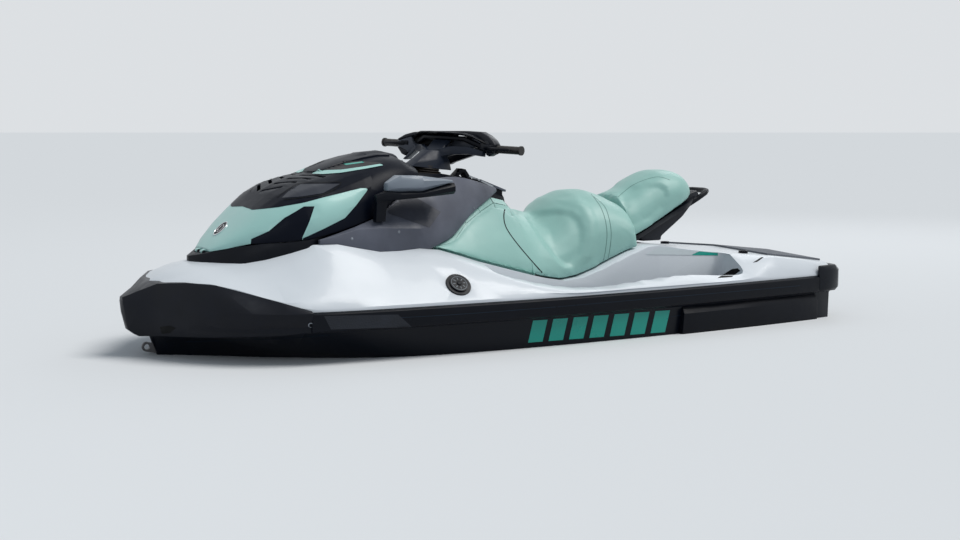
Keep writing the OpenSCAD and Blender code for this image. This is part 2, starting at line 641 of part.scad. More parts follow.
// Mirrors on the shoulders of the side panels: a pale cover over a black body with the glass
// Slices: [station, half breadth of its middle, half width, low edge, high edge]
cover_slices = [[696, 392, 20, 646, 678], [645, 394, 42, 643, 707], [556, 396, 52, 644, 704], [422, 396, 48, 676, 686]];
body_slices = [[738, 384, 14, 604, 630], [690, 388, 32, 608, 645.2], [645, 394, 44, 612, 643], [556, 396, 50, 618, 642.6],
  [414, 396, 52, 630, 674.3]];
module mirror_slice(p, lift = 0) {
  translate([st(p[0]), wide(p[1]), (p[3] + p[4]) / 2 + lift]) rotate([90, 0, 90]) linear_extrude(2)
    polygon([for (c = [[-1, -0.5], [-0.7, -1], [0.7, -1], [1, -0.5], [1, 0.4], [0.75, 1], [-0.75, 1], [-1, 0.4]])
      [c[0] * p[2], c[1] * (p[4] - p[3]) / 2]]);
}
module mirror_housings() color(silver) sides() for (i = [0:len(cover_slices) - 2]) hull() {
  mirror_slice(cover_slices[i]);
  mirror_slice(cover_slices[i + 1]);
}
module mirror_arms() color(black) sides() difference() {
  union() {
    for (i = [0:len(body_slices) - 2]) hull() {
      mirror_slice(body_slices[i], -seat_gap);
      mirror_slice(body_slices[i + 1], -seat_gap);
    }
    hull() {
      translate([st(700), wide(360), 524]) cube([40, 30, 10]);
      translate([st(694), wide(370), 602]) cube([44, 28, 10]);
    }
  }
  translate([0, seat_gap, seat_gap]) side_panel();
  translate([st(414) - 1, wide(396), 653]) rotate([0, 90, 0]) scale([19, 44, 1]) cylinder(r = 1, h = 6, $fn = 24);
}
module mirror_glass() color(silver) sides()
  translate([st(414) + 0.6, wide(396), 653]) rotate([0, 90, 0]) scale([18.6, 43.6, 1]) cylinder(r = 1, h = 4);

// Seats
module seat_front() color(mint) skin([for (x = between(st(-604), st(-36))) at_station(x,
  whole(arch(deck_at(x, 5)[0] - 3, deck_at(x, 5)[1] + 0.4, level(seat_top_line, x), 8, level(seat_bulge, x), 10)))]);
module seat_rear() color(mint) skin([for (x = concat([st(-1070)], fine(st(-1056), st(-607)))) at_station(x,
  whole(arch(breadth(pass_w_line, x), level(pass_foot_line, x), level(pass_top_line, x), 7, 0.8, 10)))]);
module grab_handle() color(black) {
  skin([for (x = fine(st(-1040), st(-640))) let(w = breadth(pass_w_line, x), z = level(pass_foot_line, x))
    at_station(x, whole([[w * 0.5, max(z - 46, deck_top(x) + 0.4)], [w * 0.8, max(z - 34, deck_top(x) + 1)],
      [w - 12, max(z - seat_gap, deck_top(x) + 3)], [8, max(z - seat_gap, deck_top(x) + 3)]]))]);
  // The loop behind the seat, as a chain of short bars
  loop = [[-1010, 108, 536], [-1066, 112, 566], [-1110, 102, 586], [-1136, 78, 594], [-1146, 40, 596]];
  sides() for (i = [0:3])
    rod([st(loop[i][0]), loop[i][1], loop[i][2]], [st(loop[i + 1][0]), loop[i + 1][1], loop[i + 1][2]], 13, 10);
  rod([st(-1146), 40, 596], [st(-1146), -40, 596], 13, 10);
}

// Mats
module foot_mats() color(grey) sides() intersection() {
  footwell(-1);
  translate([-2000, 0, bond_z - well_depth]) cube([4000, 1000, mat_t + 1]);
}
module platform_mat() color(grey) skin([for (x = between(st(-1580), st(-1252))) let(
    foot = whole([deck_at(x, 5), deck_at(x, 6), deck_at(x, 7)]), n = len(foot))
  at_station(x, concat([for (q = foot) q + [0, 0.4 + mat_t]], [for (i = [n - 1:-1:0]) foot[i] + [0, 0.4]]))],
  [6, 7, 8, 9, 10]);
module deck_sockets() color(black) socket_places() difference() {
  cylinder(r = socket_d / 2 + 8.7, h = socket_h);
  translate([0, 0, 6]) cylinder(r = socket_d / 2, h = socket_h);
}

// Bumpers and rails
module rub_rails() color(black) sides() skin([for (x = [for (v = hull_stations) if (v > st(-1510) && v < st(1100)) v]) let(
    y = bond_y(x))
  at_station(x, [[y, bond_z - rail_h], [y + rail_t, bond_z - rail_h + 6], [y + rail_t, bond_z - 8],
    [y, bond_z]])]);
// Stations of the nose bumper: [station, foot, its height, knuckle, its height, top, its height]
nose_rows = [[1095.5, 560, 128, 598, 204, 584, 212], [1182, 520, 118, 562, 201, 540, 240],
  [1294, 440, 110, 494, 203, 466, 275], [1396, 340, 102, 392, 209, 366, 305],
  [1472, 240, 97, 294, 216, 264, 308], [1546, 110, 90, 140, 216, 122, 296],
  [1600, 40, 84, 82, 217, 60, 266], [1636, 20, 110, 48, 218, 34, 248],
  [1656, 8, 180, 24, 222, 16, 238]];
module nose_slice(p) {
  translate([st(p[0]), 0, 0]) rotate([90, 0, 90]) linear_extrude(1)
    polygon(whole([[wide(p[1]), p[2]], [wide(p[3]), p[4]], [wide(p[5]), p[6]]]));
}
module nose_bumper() color(black) difference() {
  for (i = [0:len(nose_rows) - 2]) hull() {
    nose_slice(nose_rows[i]);
    nose_slice(nose_rows[i + 1]);
  }
  hull_form();
  deck_form();
  translate([st(1540), -57, 130]) cube([st(51.3), 114, 118]);
}
// Outline in plan of a stern bumper: [outer station, outer half width, inner station, inner half width]
stern_rows = [[-1500.4, bond_y(st(-1500)) + rail_t, -1500.4, bond_y(st(-1500)) + 0.4],
  [-1560, bond_y(st(-1500)) + 18, -1550, (bond_y(st(-1500)) + bond_y(st(-1600))) / 2 + 0.4],
  [-1612, bond_y(st(-1600)) + 28, -1600.3, bond_y(st(-1600)) + 0.4], [-1646, bond_y(st(-1600)) + 2, -1600.3, 422],
  [-1658, 404, -1600.3, 400], [-1659, 330, -1600.3, 332], [-1642, 296, -1600.3, 300]];
module stern_bumpers() color(black) sides() skin([for (v = [[130, 0.3], [146, 0], [228, 0], [252, 0.35]])
  [for (k = [0:2 * len(stern_rows) - 1]) let(r = stern_rows[min(k, 2 * len(stern_rows) - 1 - k)],
      outer = [st(r[0]), r[1]], inner = [st(r[2]), r[3]], q = k < len(stern_rows) ? outer + (inner - outer) * v[1] : inner)
    [q[0], q[1], v[0]]]]);

// Sponsons on the chines
module sponsons() color(black) sides() skin([for (x = [for (v = hull_stations) if (v > st(-1510) && v < st(-600)) v]) let(
    h = hull_half(x), a = h[3], b = h[4])
  at_station(x, [a + [0.4, 0], a + [26, 2], b + [18, -30], b + [0.4, 0]])], [3]);

module engine() color("dimgray") translate(bay[0] + [20, 20, seat_gap])
  cube([bay[1][0] - bay[0][0] - 40, bay[1][1] - bay[0][1] - 40, 300]);

// Jet pump, drawn along its axis from the tunnel's front wall aft
pump_front = tunnel_front - 0.3;
barrel_len = 220;
cone_len = 50;
neck_len = 58;
neck_r = 54;
neck_t = 7;
nozzle_x = pump_front - barrel_len - cone_len - neck_len + 16;
bell_r = 75;
nozzle_len = 100;
hinge_x = nozzle_x - 12;
hinge_z = pump_z + 4;
ear_y = 96;
pin_r = 6;
bearing_r = shaft_r - 0.3 + 0.06;
module along(x) translate([x, 0, pump_z]) rotate([0, -90, 0]) children();
module barrel(gap) {
  cylinder(r = pump_r - gap, h = barrel_len);
  translate([0, 0, barrel_len]) cylinder(r1 = pump_r - gap, r2 = neck_r - min(gap, neck_t), h = cone_len);
  translate([0, 0, barrel_len + cone_len]) cylinder(r = neck_r - min(gap, neck_t), h = neck_len);
}
module pump_housing() color("silver") difference() {
  union() {
    along(pump_front) difference() {
      union() {
        barrel(0);
        cylinder(r = pump_r + 14, h = 12);
      }
      translate([0, 0, -0.5]) barrel(pump_t);
      translate([0, 0, 1]) barrel(pump_t);
    }
    along(pump_front - 130) difference() {
      union() {
        cylinder(r = 26, h = 85);
        for (i = [0:vanes - 1]) rotate([0, 0, 360 / vanes * i]) translate([22, -2, 0])
          cube([pump_r - pump_t - 20, 4, 80]);
      }
      translate([0, 0, -1]) cylinder(r = bearing_r, h = 60);
    }
    for (s = [-1, 1]) {
      translate([hinge_x - 14, s * (ear_y + 4) - 4, pump_z - 20]) cube([pump_front - 150 - hinge_x + 14, 8, 44]);
      translate([pump_front - 190, s * 92 - 8, pump_z - 20]) cube([60, 16, 44]);
      translate([nozzle_x - 14, -16, pump_z + s * 86 - 4]) cube([pump_front - 190 - nozzle_x + 14, 32, 8]);
    }
  }
  translate([hinge_x, 0, hinge_z]) rotate([90, 0, 0]) cylinder(r = pin_r + 0.06, h = 260, center = true);
  translate([nozzle_x, 0, pump_z]) cylinder(r = pin_r + 0.06, h = 260, center = true);
}
module impeller() color("silver") along(pump_front - 30) {
  difference() {
    cylinder(r = 27, h = 90);
    translate([0, 0, -1]) cylinder(r = shaft_r, h = 92);
  }
  for (i = [0:blades - 1]) rotate([0, 0, 360 / blades * i]) linear_extrude(70, twist = 95, slices = 5, $fn = 4)
    translate([24, -3]) square([pump_r - pump_t - 24 - 2, 6]);
}
module drive_shaft() color("silver") along(bay[0][0] + 19)
  cylinder(r = shaft_r - 0.3, h = bay[0][0] + 19 - pump_front + 170);
module steering_nozzle() color("silver")
  translate([nozzle_x, 0, pump_z]) rotate([0, 0, -steer_rest * nozzle_ratio]) rotate([0, -90, 0]) difference() {
    union() {
      cylinder(r1 = bell_r, r2 = outlet_r + 7, h = nozzle_len);
      for (s = [-1, 1]) translate([s * (bell_r + 5), 0, 0]) rotate([0, 90, 0])
        cylinder(r = pin_r, h = 26, center = true);
    }
    translate([0, 0, -50]) cylinder(r = bell_r - 7, h = 50.01);
    cylinder(r1 = bell_r - 7, r2 = outlet_r, h = nozzle_len + 0.01);
  }
bucket_r = 126;
bucket_y = 108;
module reverse_bucket() color("silver") translate([hinge_x, 0, hinge_z]) {
  rotate([90, 0, 0]) linear_extrude(2 * bucket_y + 12, center = true) difference() {
    intersection() {
      circle(bucket_r + 8);
      polygon([[0, 0], for (a = [150, 120, 90, 60]) 300 * [cos(a), sin(a)]]);
    }
    circle(bucket_r);
  }
  for (s = [-1, 1]) {
    translate([0, s * (bucket_y + 3), 0]) rotate([90, 0, 0]) linear_extrude(6, center = true) union() {
      circle(14);
      polygon([[-12, 4], [12, 4], 128 * [cos(66), sin(66)], 128 * [cos(144), sin(144)]]);
    }
    translate([0, s * (bucket_y - 5), 0]) rotate([90, 0, 0]) cylinder(r = pin_r, h = 18, center = true);
  }
}
module ride_plate() color("silver") difference() {
  translate([st(-1580), -146, -keel_depth - plate_t - 0.3]) cube([tunnel_front - st(-1580), 292, plate_t]);
  for (x = [st(-1540), st(-1160)], s = [-1, 1]) translate([x, s * 141, -keel_depth - 40]) cylinder(r = 3, h = 80);
}
module intake_grate() color("silver") {
  translate([0, 0, -keel_depth - 6]) {
    for (y = [-54, -27, 0, 27, 54]) translate([tunnel_front, y - 4, 0]) cube([intake_front - tunnel_front, 8, 6]);
    for (x = [tunnel_front + 1, intake_front - 15]) translate([x, -intake_half, 0]) cube([14, 2 * intake_half, 6]);
  }
}

// Stern fittings
transom = st(-1600);
ladder_z = 60;
ladder_x = transom - 26;
module ladder_bracket() color(black) for (s = [-1, 1]) difference() {
  hull() {
    translate([transom - 4, s * 118 - 8, ladder_z - 26]) cube([4, 16, 52]);
    translate([ladder_x, s * 118 + 8, ladder_z]) rotate([90, 0, 0]) cylinder(r = 13, h = 16);
  }
  translate([ladder_x, s * 118 + 20, ladder_z]) rotate([90, 0, 0]) cylinder(r = 6, h = 40);
}
module boarding_ladder() color(black) {
  for (s = [-1, 1]) translate([ladder_x, s * (step_w / 2 - 14), ladder_z]) {
    translate([-11, -7, -11]) cube([22, 14, 178]);
    rotate([90 * s, 0, 0]) cylinder(r = 5.7, h = 34);
  }
  translate([ladder_x, -step_w / 2 + 12, ladder_z + 168]) rotate([-90, 0, 0])
    cylinder(r = 15, h = step_w - 24);
}
module tow_hook() color("silver") difference() {
  union() {
    translate([transom - 6, -26, 146]) cube([5.7, 52, 48]);
    hull() {
      translate([transom - 8, -24, 163]) cube([4, 48, 14]);
      translate([transom - 32, 0, 163]) cylinder(r = 20, h = 14);
    }
  }
  translate([transom - 32, 0, 150]) cylinder(r = eye_d / 2, h = 40);
}
// Stem at height z, between the two stations that hold the bow eye
stem_x = [st(1519), st(1542)];
function stem_at(z) = stem_x[0] + 0.3 + (z - keel_z(stem_x[0])) / (keel_z(stem_x[1]) - keel_z(stem_x[0])) * (stem_x[1] - stem_x[0]);
module bow_eye() color("silver") rotate([90, 0, 0]) linear_extrude(14, center = true) difference() {
  hull() {
    polygon([[stem_at(8), 8], [stem_at(8) + 8, 8], [stem_at(48) + 8, 48], [stem_at(48), 48]]);
    translate([st(1560), 34]) circle(19);
  }
  translate([st(1560), 34]) circle(eye_d / 2);
}
module drain_plugs() color(black) for (s = [-1, 1]) translate([transom - 8.3, s * 220, -60])
  rotate([0, 90, 0]) cylinder(r = 16, h = 8);

lower_hull();
deck();
nose_bumper();
rub_rails();
stern_bumpers();
storage_tray();
storage_bin();
hood_shell();
hood_cowl();
gauge_display();
side_panels();
mirror_housings();
mirror_arms();
mirror_glass();
console();
glovebox_bin();
glovebox_lid();
steering_riser();
handlebar();
handlebar_cover();
grips();
levers();
knee_skirt();
seat_front();
seat_rear();
grab_handle();
foot_mats();
platform_mat();
deck_sockets();
fuel_cap();
sponsons();
engine();
intake_grate();
ride_plate();
pump_housing();
impeller();
drive_shaft();
steering_nozzle();
reverse_bucket();
ladder_bracket();
boarding_ladder();
tow_hook();
bow_eye();
drain_plugs();
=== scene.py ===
"""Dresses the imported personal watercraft.

Materials, padded seats, trim and graphics, floor, light and camera.
"""
import json
import math

import bmesh
import bpy
from mathutils import Matrix, Vector
from mathutils.bvhtree import BVHTree


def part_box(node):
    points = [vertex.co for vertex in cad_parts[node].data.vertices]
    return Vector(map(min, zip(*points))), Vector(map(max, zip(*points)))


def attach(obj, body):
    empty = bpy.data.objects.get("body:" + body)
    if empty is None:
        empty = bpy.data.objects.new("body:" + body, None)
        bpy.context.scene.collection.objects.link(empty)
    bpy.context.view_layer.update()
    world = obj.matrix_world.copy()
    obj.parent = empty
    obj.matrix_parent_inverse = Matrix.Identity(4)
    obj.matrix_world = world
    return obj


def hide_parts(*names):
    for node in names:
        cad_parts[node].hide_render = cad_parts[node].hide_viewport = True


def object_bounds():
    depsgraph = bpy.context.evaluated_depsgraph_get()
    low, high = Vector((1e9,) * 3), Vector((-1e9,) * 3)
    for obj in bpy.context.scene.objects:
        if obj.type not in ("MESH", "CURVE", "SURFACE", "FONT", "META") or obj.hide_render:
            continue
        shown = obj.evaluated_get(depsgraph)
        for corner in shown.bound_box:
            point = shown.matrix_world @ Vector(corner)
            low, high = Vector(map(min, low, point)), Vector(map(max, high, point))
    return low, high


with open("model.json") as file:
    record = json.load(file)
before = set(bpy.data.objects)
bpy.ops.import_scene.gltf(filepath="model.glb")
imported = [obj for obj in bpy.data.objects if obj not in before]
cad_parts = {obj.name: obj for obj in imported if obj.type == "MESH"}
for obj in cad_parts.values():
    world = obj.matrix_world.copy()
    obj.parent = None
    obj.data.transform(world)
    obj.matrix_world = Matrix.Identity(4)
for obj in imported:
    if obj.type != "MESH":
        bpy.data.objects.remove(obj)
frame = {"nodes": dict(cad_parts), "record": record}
NODES = frame["nodes"]
CAD_BOX = [list(corner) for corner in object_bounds()]
SCENE = bpy.context.scene

# colours, linear
NAVY = (0.0022, 0.0040, 0.0090)
WHITE = (0.69, 0.73, 0.77)
MINT = (0.38, 0.66, 0.61)
SEAT_MINT = (0.30, 0.535, 0.485)
BLACK = (0.0028, 0.0040, 0.0075)
GREY = (0.100, 0.108, 0.138)
SILVER = (0.24, 0.275, 0.32)
TEAL = (0.006, 0.40, 0.31)
ALLOY = (0.56, 0.57, 0.58)
MAT_GREY = (0.16, 0.17, 0.19)
WORLD_FILL, WORLD_FILL_STRENGTH = (0.80, 0.90, 1.0), 0.36
WORLD_SHOWN, WORLD_SHOWN_STRENGTH = (0.72, 0.745, 0.77), 1.0
FLOOR_BOUNCE, FLOOR_SHOWN = (0.36, 0.38, 0.41), (0.76, 0.775, 0.79)
FLOOR_SIZE = 500

# the photograph's viewpoint, off the port bow: picture size and focal length in pixels, and the horizon's
# height over the picture's middle
WIDTH, HEIGHT, FOCAL, HORIZON = 960, 540, 1440, 144
EYE, HEADING = Vector((3.138, 5.564, 0.902)), math.radians(61)
DIP = math.atan(HORIZON / FOCAL)
SENSOR = 36
FLAT = Vector((-math.cos(HEADING), -math.sin(HEADING), 0))
LOOK = FLAT * math.cos(DIP) + Vector((0, 0, -math.sin(DIP)))
UP = FLAT * math.sin(DIP) + Vector((0, 0, math.cos(DIP)))
RIGHT = LOOK.cross(UP)
DOWN = Vector((0, 0, -1))


def camera():
    data = bpy.data.cameras.new("camera")
    data.lens, data.sensor_width = SENSOR * FOCAL / WIDTH, SENSOR
    data.clip_start, data.clip_end = 0.05, 200
    eye = bpy.data.objects.new("camera", data)
    turn = Matrix((RIGHT, UP, -LOOK)).transposed().to_4x4()
    eye.matrix_world = Matrix.Translation(EYE) @ turn
    SCENE.collection.objects.link(eye)
    SCENE.camera = eye


def ray(px, py):
    """Direction from the viewpoint through a point of the 960 by 540 picture."""
    across, rise = (px - WIDTH / 2) / FOCAL, (HEIGHT / 2 - py) / FOCAL
    return (LOOK + RIGHT * across + UP * rise).normalized()


def from_crop(crop, outline):
    """Picture points of an outline read off a crop, given as its left, top and enlargement."""
    left, top, scale = crop
    return [(left + x / scale, top + y / scale) for x, y in outline]


def seen_at(place):
    """Picture point of a place, as it would be on the port side."""
    d = Vector((place[0], abs(place[1]), place[2])) - EYE
    depth = d.dot(LOOK)
    return WIDTH / 2 + FOCAL * d.dot(RIGHT) / depth, HEIGHT / 2 - FOCAL * d.dot(UP) / depth


def lamp(name, place, aim, size, power, colour=(1, 1, 1), kind="AREA"):
    data = bpy.data.lights.new(name, kind)
    data.energy, data.color = power, colour
    if kind == "SUN":
        data.angle = size
    else:
        data.shape, data.size = "DISK", size
    obj = bpy.data.objects.new(name, data)
    turn = (Vector(aim) - Vector(place)).to_track_quat("-Z", "Y")
    obj.matrix_world = Matrix.Translation(place) @ turn.to_matrix().to_4x4()
    SCENE.collection.objects.link(obj)


def seen_rays(tree):
    """1 for the rays that show a background: camera, mirror and glass rays."""
    path = tree.nodes.new("ShaderNodeLightPath")
    total = path.outputs["Is Camera Ray"]
    for kind in ("Is Glossy Ray", "Is Transmission Ray"):
        both = tree.nodes.new("ShaderNodeMath")
        both.operation, both.use_clamp = "ADD", True
        tree.links.new(total, both.inputs[0])
        tree.links.new(path.outputs[kind], both.inputs[1])
        total = both.outputs[0]
    return total


def surroundings():
    """Pale floor at the waterline, pale world, a broad soft sun and two weak lamps."""
    SCENE.view_settings.view_transform = "Standard"
    world = bpy.data.worlds.new("studio")
    world.use_nodes = True
    SCENE.world = world
    tree = world.node_tree
    tree.nodes.clear()
    out = tree.nodes.new("ShaderNodeOutputWorld")
    fill = tree.nodes.new("ShaderNodeBackground")
    fill.inputs["Color"].default_value = (*WORLD_FILL, 1)
    fill.inputs["Strength"].default_value = WORLD_FILL_STRENGTH
    shown = tree.nodes.new("ShaderNodeBackground")
    shown.inputs["Color"].default_value = (*WORLD_SHOWN, 1)
    shown.inputs["Strength"].default_value = WORLD_SHOWN_STRENGTH
    mix = tree.nodes.new("ShaderNodeMixShader")
    tree.links.new(seen_rays(tree), mix.inputs[0])
    tree.links.new(fill.outputs[0], mix.inputs[1])
    tree.links.new(shown.outputs[0], mix.inputs[2])
    tree.links.new(mix.outputs[0], out.inputs[0])
    bpy.ops.mesh.primitive_plane_add(size=FLOOR_SIZE, location=(0, 0, 0))
    floor = bpy.context.object
    floor.name = "floor"
    stone = bpy.data.materials.new("pale_floor")
    stone.use_nodes = True
    tree = stone.node_tree
    tint = tree.nodes.new("ShaderNodeMix")
    tint.data_type = "RGBA"
    tint.inputs[6].default_value = (*FLOOR_BOUNCE, 1)
    tint.inputs[7].default_value = (*FLOOR_SHOWN, 1)
    tree.links.new(seen_rays(tree), tint.inputs[0])
    body = tree.nodes["Principled BSDF"]
    tree.links.new(tint.outputs[2], body.inputs["Base Color"])
    body.inputs["Roughness"].default_value = 0.9
    body.inputs["Specular IOR Level"].default_value = 0.0
    floor.data.materials.append(stone)
    lamp("key", (-2.1, 1.7, 4.4), (0, 0, 0), math.radians(32), 2.1, (1.0, 0.985, 0.96), "SUN")
    lamp("bow_fill", (6.5, 4.2, 3.6), (0.8, 0, 0.3), 2.6, 36, (0.90, 0.95, 1.0))
    lamp("stern_fill", (-5.5, -3.6, 4.6), (-0.4, 0, 0.4), 3.0, 40, (0.95, 0.98, 1.0))


class Surface:
    """A material whose colour drift, roughness drift and relief come from object coordinates, in metres."""

    def __init__(self, name, colour, rough, metal=0.0, coat=0.0, coat_rough=0.08, sheen=0.0,
                 specular=0.5):
        self.mat = bpy.data.materials.new(name)
        self.mat.use_nodes = True
        self.tree = self.mat.node_tree
        self.body = self.tree.nodes["Principled BSDF"]
        self.body.inputs["Metallic"].default_value = metal
        self.body.inputs["Coat Weight"].default_value = coat
        self.body.inputs["Coat Roughness"].default_value = coat_rough
        self.body.inputs["Sheen Weight"].default_value = sheen
        self.body.inputs["Specular IOR Level"].default_value = specular
        self.place = self.add("TexCoord").outputs["Object"]
        self.colour, self.rough, self.relief = colour, rough, None
        self.body.inputs["Base Color"].default_value = (*colour, 1)
        self.body.inputs["Roughness"].default_value = rough
        self.mat.diffuse_color = (*colour, 1)

    def add(self, kind, **values):
        node = self.tree.nodes.new("ShaderNode" + kind)
        for key, value in values.items():
            if key in node.inputs:
                node.inputs[key].default_value = value
            else:
                setattr(node, key, value)
        return node

    def wire(self, source, target):
        self.tree.links.new(source, target)

    def stretched(self, scale, turn=(0, 0, 0)):
        node = self.add("Mapping")
        node.inputs["Scale"].default_value = scale
        node.inputs["Rotation"].default_value = turn
        self.wire(self.place, node.inputs["Vector"])
        return node.outputs[0]

    def noise(self, scale, detail=3.0, stretch=None):
        node = self.add("TexNoise", Scale=scale, Detail=detail)
        self.wire(self.stretched(stretch) if stretch else self.place, node.inputs["Vector"])
        return node.outputs["Fac"]

    def cells(self, scale, feature="F1"):
        node = self.add("TexVoronoi", Scale=scale)
        node.feature = feature
        self.wire(self.place, node.inputs["Vector"])
        return node.outputs["Distance"]

    def bands(self, scale, turn=(0, 0, 0), profile="SIN"):
        node = self.add("TexWave", Scale=scale)
        node.bands_direction, node.wave_profile = "X", profile
        self.wire(self.stretched((1, 1, 1), turn), node.inputs["Vector"])
        return node.outputs["Fac"]

    def ranged(self, source, low, high, start=0.3, end=0.7):
        node = self.add("MapRange")
        for key, value in (("From Min", start), ("From Max", end), ("To Min", low), ("To Max", high)):
            node.inputs[key].default_value = value
        self.wire(source, node.inputs["Value"])
        return node.outputs[0]

    def mottle(self, share=0.12, scale=7.0, other=None):
        """The colour drifts between two near shades in broad soft patches."""
        mix = self.add("Mix", data_type="RGBA")
        dark = other or tuple(c * (1 - share) for c in self.colour)
        light = tuple(min(1, c * (1 + share)) for c in self.colour)
        mix.inputs[6].default_value, mix.inputs[7].default_value = (*dark, 1), (*light, 1)
        self.wire(self.ranged(self.noise(scale), 0, 1), mix.inputs[0])
        self.wire(mix.outputs[2], self.body.inputs["Base Color"])
        return self

    def smudges(self, spread=0.08, scale=18.0):
        low, high = max(0.02, self.rough - spread), min(1, self.rough + spread)
        self.wire(self.ranged(self.noise(scale, 5), low, high), self.body.inputs["Roughness"])
        return self

    def bump(self, height, strength, distance):
        node = self.add("Bump", Strength=strength, Distance=distance)
        self.wire(height, node.inputs["Height"])
        if self.relief is not None:
            self.wire(self.relief, node.inputs["Normal"])
        self.relief = node.outputs[0]
        self.wire(self.relief, self.body.inputs["Normal"])
        return self


# materials

def moulded(name, colour, rough=0.45, grain=900, coat=0.0, specular=0.14, relief=1.0):
    s = Surface(name, colour, rough, coat=coat, coat_rough=0.2, specular=specular)
    s.mottle(0.15, 9).smudges(0.08, 25)
    s.bump(s.cells(grain), 0.18 * relief, 0.0003)
    return s.bump(s.noise(90, 2), 0.06 * relief, 0.0005).mat


def gelcoat(name, colour, rough=0.22, drift=0.04, coat=0.5, specular=0.4):
    s = Surface(name, colour, rough, coat=coat, coat_rough=0.08, specular=specular)
    return s.mottle(drift, 3).smudges(0.05, 9).bump(s.noise(9, 2), 0.04, 0.004).mat


def metal(name, colour, rough=0.35, grain=(1, 30, 30)):
    s = Surface(name, colour, rough, metal=1.0)
    return s.mottle(0.08, 12).smudges(0.1, 30).bump(s.noise(60, 4, grain), 0.12, 0.0005).mat


def vinyl(name, colour):
    s = Surface(name, colour, 0.42, sheen=0.12, specular=0.45)
    s.mottle(0.05, 5).smudges(0.08, 14).bump(s.cells(420, "SMOOTH_F1"), 0.3, 0.0006)
    return s.bump(s.noise(30), 0.1, 0.002).mat


def foam_mat(name, colour):
    """Traction mat with crossed diagonal grooves and a pebbled top."""
    s = Surface(name, colour, 0.85, specular=0.3)
    s.mottle(0.14, 6).smudges(0.08, 20)
    for slant in (0.62, -0.62):
        s.bump(s.bands(26, (0, 0, slant)), 0.5, 0.003)
    return s.bump(s.cells(500), 0.3, 0.0005).mat


def soften(obj, width, segments, angle):
    """Rounds the edges that are sharper than an angle in degrees."""
    edge = obj.modifiers.new("edge", "BEVEL")
    edge.width, edge.segments = width, segments
    edge.limit_method, edge.angle_limit = "ANGLE", math.radians(angle)


def split_edges(obj, angle):
    """Keeps the edges sharper than an angle in degrees crisp in the shading."""
    split = obj.modifiers.new("split", "EDGE_SPLIT")
    split.split_angle = math.radians(angle)


def dress(node, material, smooth=32, bevel=0.0):
    """Gives a carried-over node its material, joined normals and softened edges."""
    obj = NODES[node]
    obj.data.materials.clear()
    obj.data.materials.append(material)
    if "custom_normal" in obj.data.attributes:
        obj.data.attributes.remove(obj.data.attributes["custom_normal"])
    obj.data.polygons.foreach_set("use_smooth", [True] * len(obj.data.polygons))
    weld = obj.modifiers.new("weld", "WELD")
    weld.merge_threshold = 1e-5
    if bevel:
        soften(obj, bevel, 2, 40)
    split_edges(obj, smooth)


# surfaces to lay pieces on

def skin_of(*objs):
    """Search tree over the meshes of CAD nodes, by name, or of objects."""
    verts, faces = [], []
    for obj in objs:
        mesh = NODES[obj].data if isinstance(obj, str) else obj.data
        start = len(verts)
        verts.extend(v.co.copy() for v in mesh.vertices)
        faces.extend([start + i for i in p.vertices] for p in mesh.polygons)
    return BVHTree.FromPolygons(verts, faces)


def hit(tree, px, py):
    """Place and outward normal where the picture's ray meets a surface."""
    way = ray(px, py)
    place, normal, _, _ = tree.ray_cast(EYE, way)
    if place is None:
        return None
    return place, (normal if normal.dot(way) < 0 else -normal)


def piece(name, verts, faces, material, body="root", mirror=False, smooth=True):
    if mirror:
        n = len(verts)
        faces = faces + [[n + i for i in reversed(f)] for f in faces]
        verts = verts + [Vector((v[0], -v[1], v[2])) for v in verts]
    mesh = bpy.data.meshes.new(name)
    mesh.from_pydata([tuple(v) for v in verts], [], faces)
    mesh.update()
    mesh.polygons.foreach_set("use_smooth", [smooth] * len(mesh.polygons))
    obj = bpy.data.objects.new(name, mesh)
    SCENE.collection.objects.link(obj)
    obj.data.materials.append(material)
    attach(obj, body)
    return obj


def decal(name, tree, outline, material, body="root", mirror=True, lift=0.0006, cell=3.0):
    """A thin film with this outline in the picture, laid on a surface."""
    bm = bmesh.new()
    bm.faces.new([bm.verts.new((x, y, 0)) for x, y in outline])
    for axis in (0, 1):
        low, high = min(p[axis] for p in outline), max(p[axis] for p in outline)
        normal = (1, 0, 0) if axis == 0 else (0, 1, 0)
        cut = low + cell
        while cut < high:
            at = (cut, 0, 0) if axis == 0 else (0, cut, 0)
            geom = bm.verts[:] + bm.edges[:] + bm.faces[:]
            bmesh.ops.bisect_plane(bm, geom=geom, plane_co=at, plane_no=normal)
            cut += cell
    bmesh.ops.triangulate(bm, faces=bm.faces[:])
    bm.verts.index_update()
    spots = [hit(tree, v.co.x, v.co.y) for v in bm.verts]
    faces = [[v.index for v in f.verts] for f in bm.faces if all(spots[v.index] for v in f.verts)]
    bm.free()
    used = sorted({i for f in faces for i in f})
    order = {i: k for k, i in enumerate(used)}
    verts = [spots[i][0] + spots[i][1] * lift for i in used]
    faces = [[order[i] for i in f] for f in faces]
    return piece(name, verts, faces, material, body, mirror)


def smoothed(points, steps=6):
    """Points of a soft curve through these points."""
    pts = [Vector(p) for p in points]
    out = []
    for i in range(len(pts) - 1):
        a, b, c, d = pts[max(i - 1, 0)], pts[i], pts[i + 1], pts[min(i + 2, len(pts) - 1)]
        for k in range(steps):
            t = k / steps
            square, cube = 2 * a - 5 * b + 4 * c - d, 3 * b - a - 3 * c + d
            out.append(0.5 * ((2 * b) + (c - a) * t + square * t * t + cube * t ** 3))
    return out + [pts[-1]]


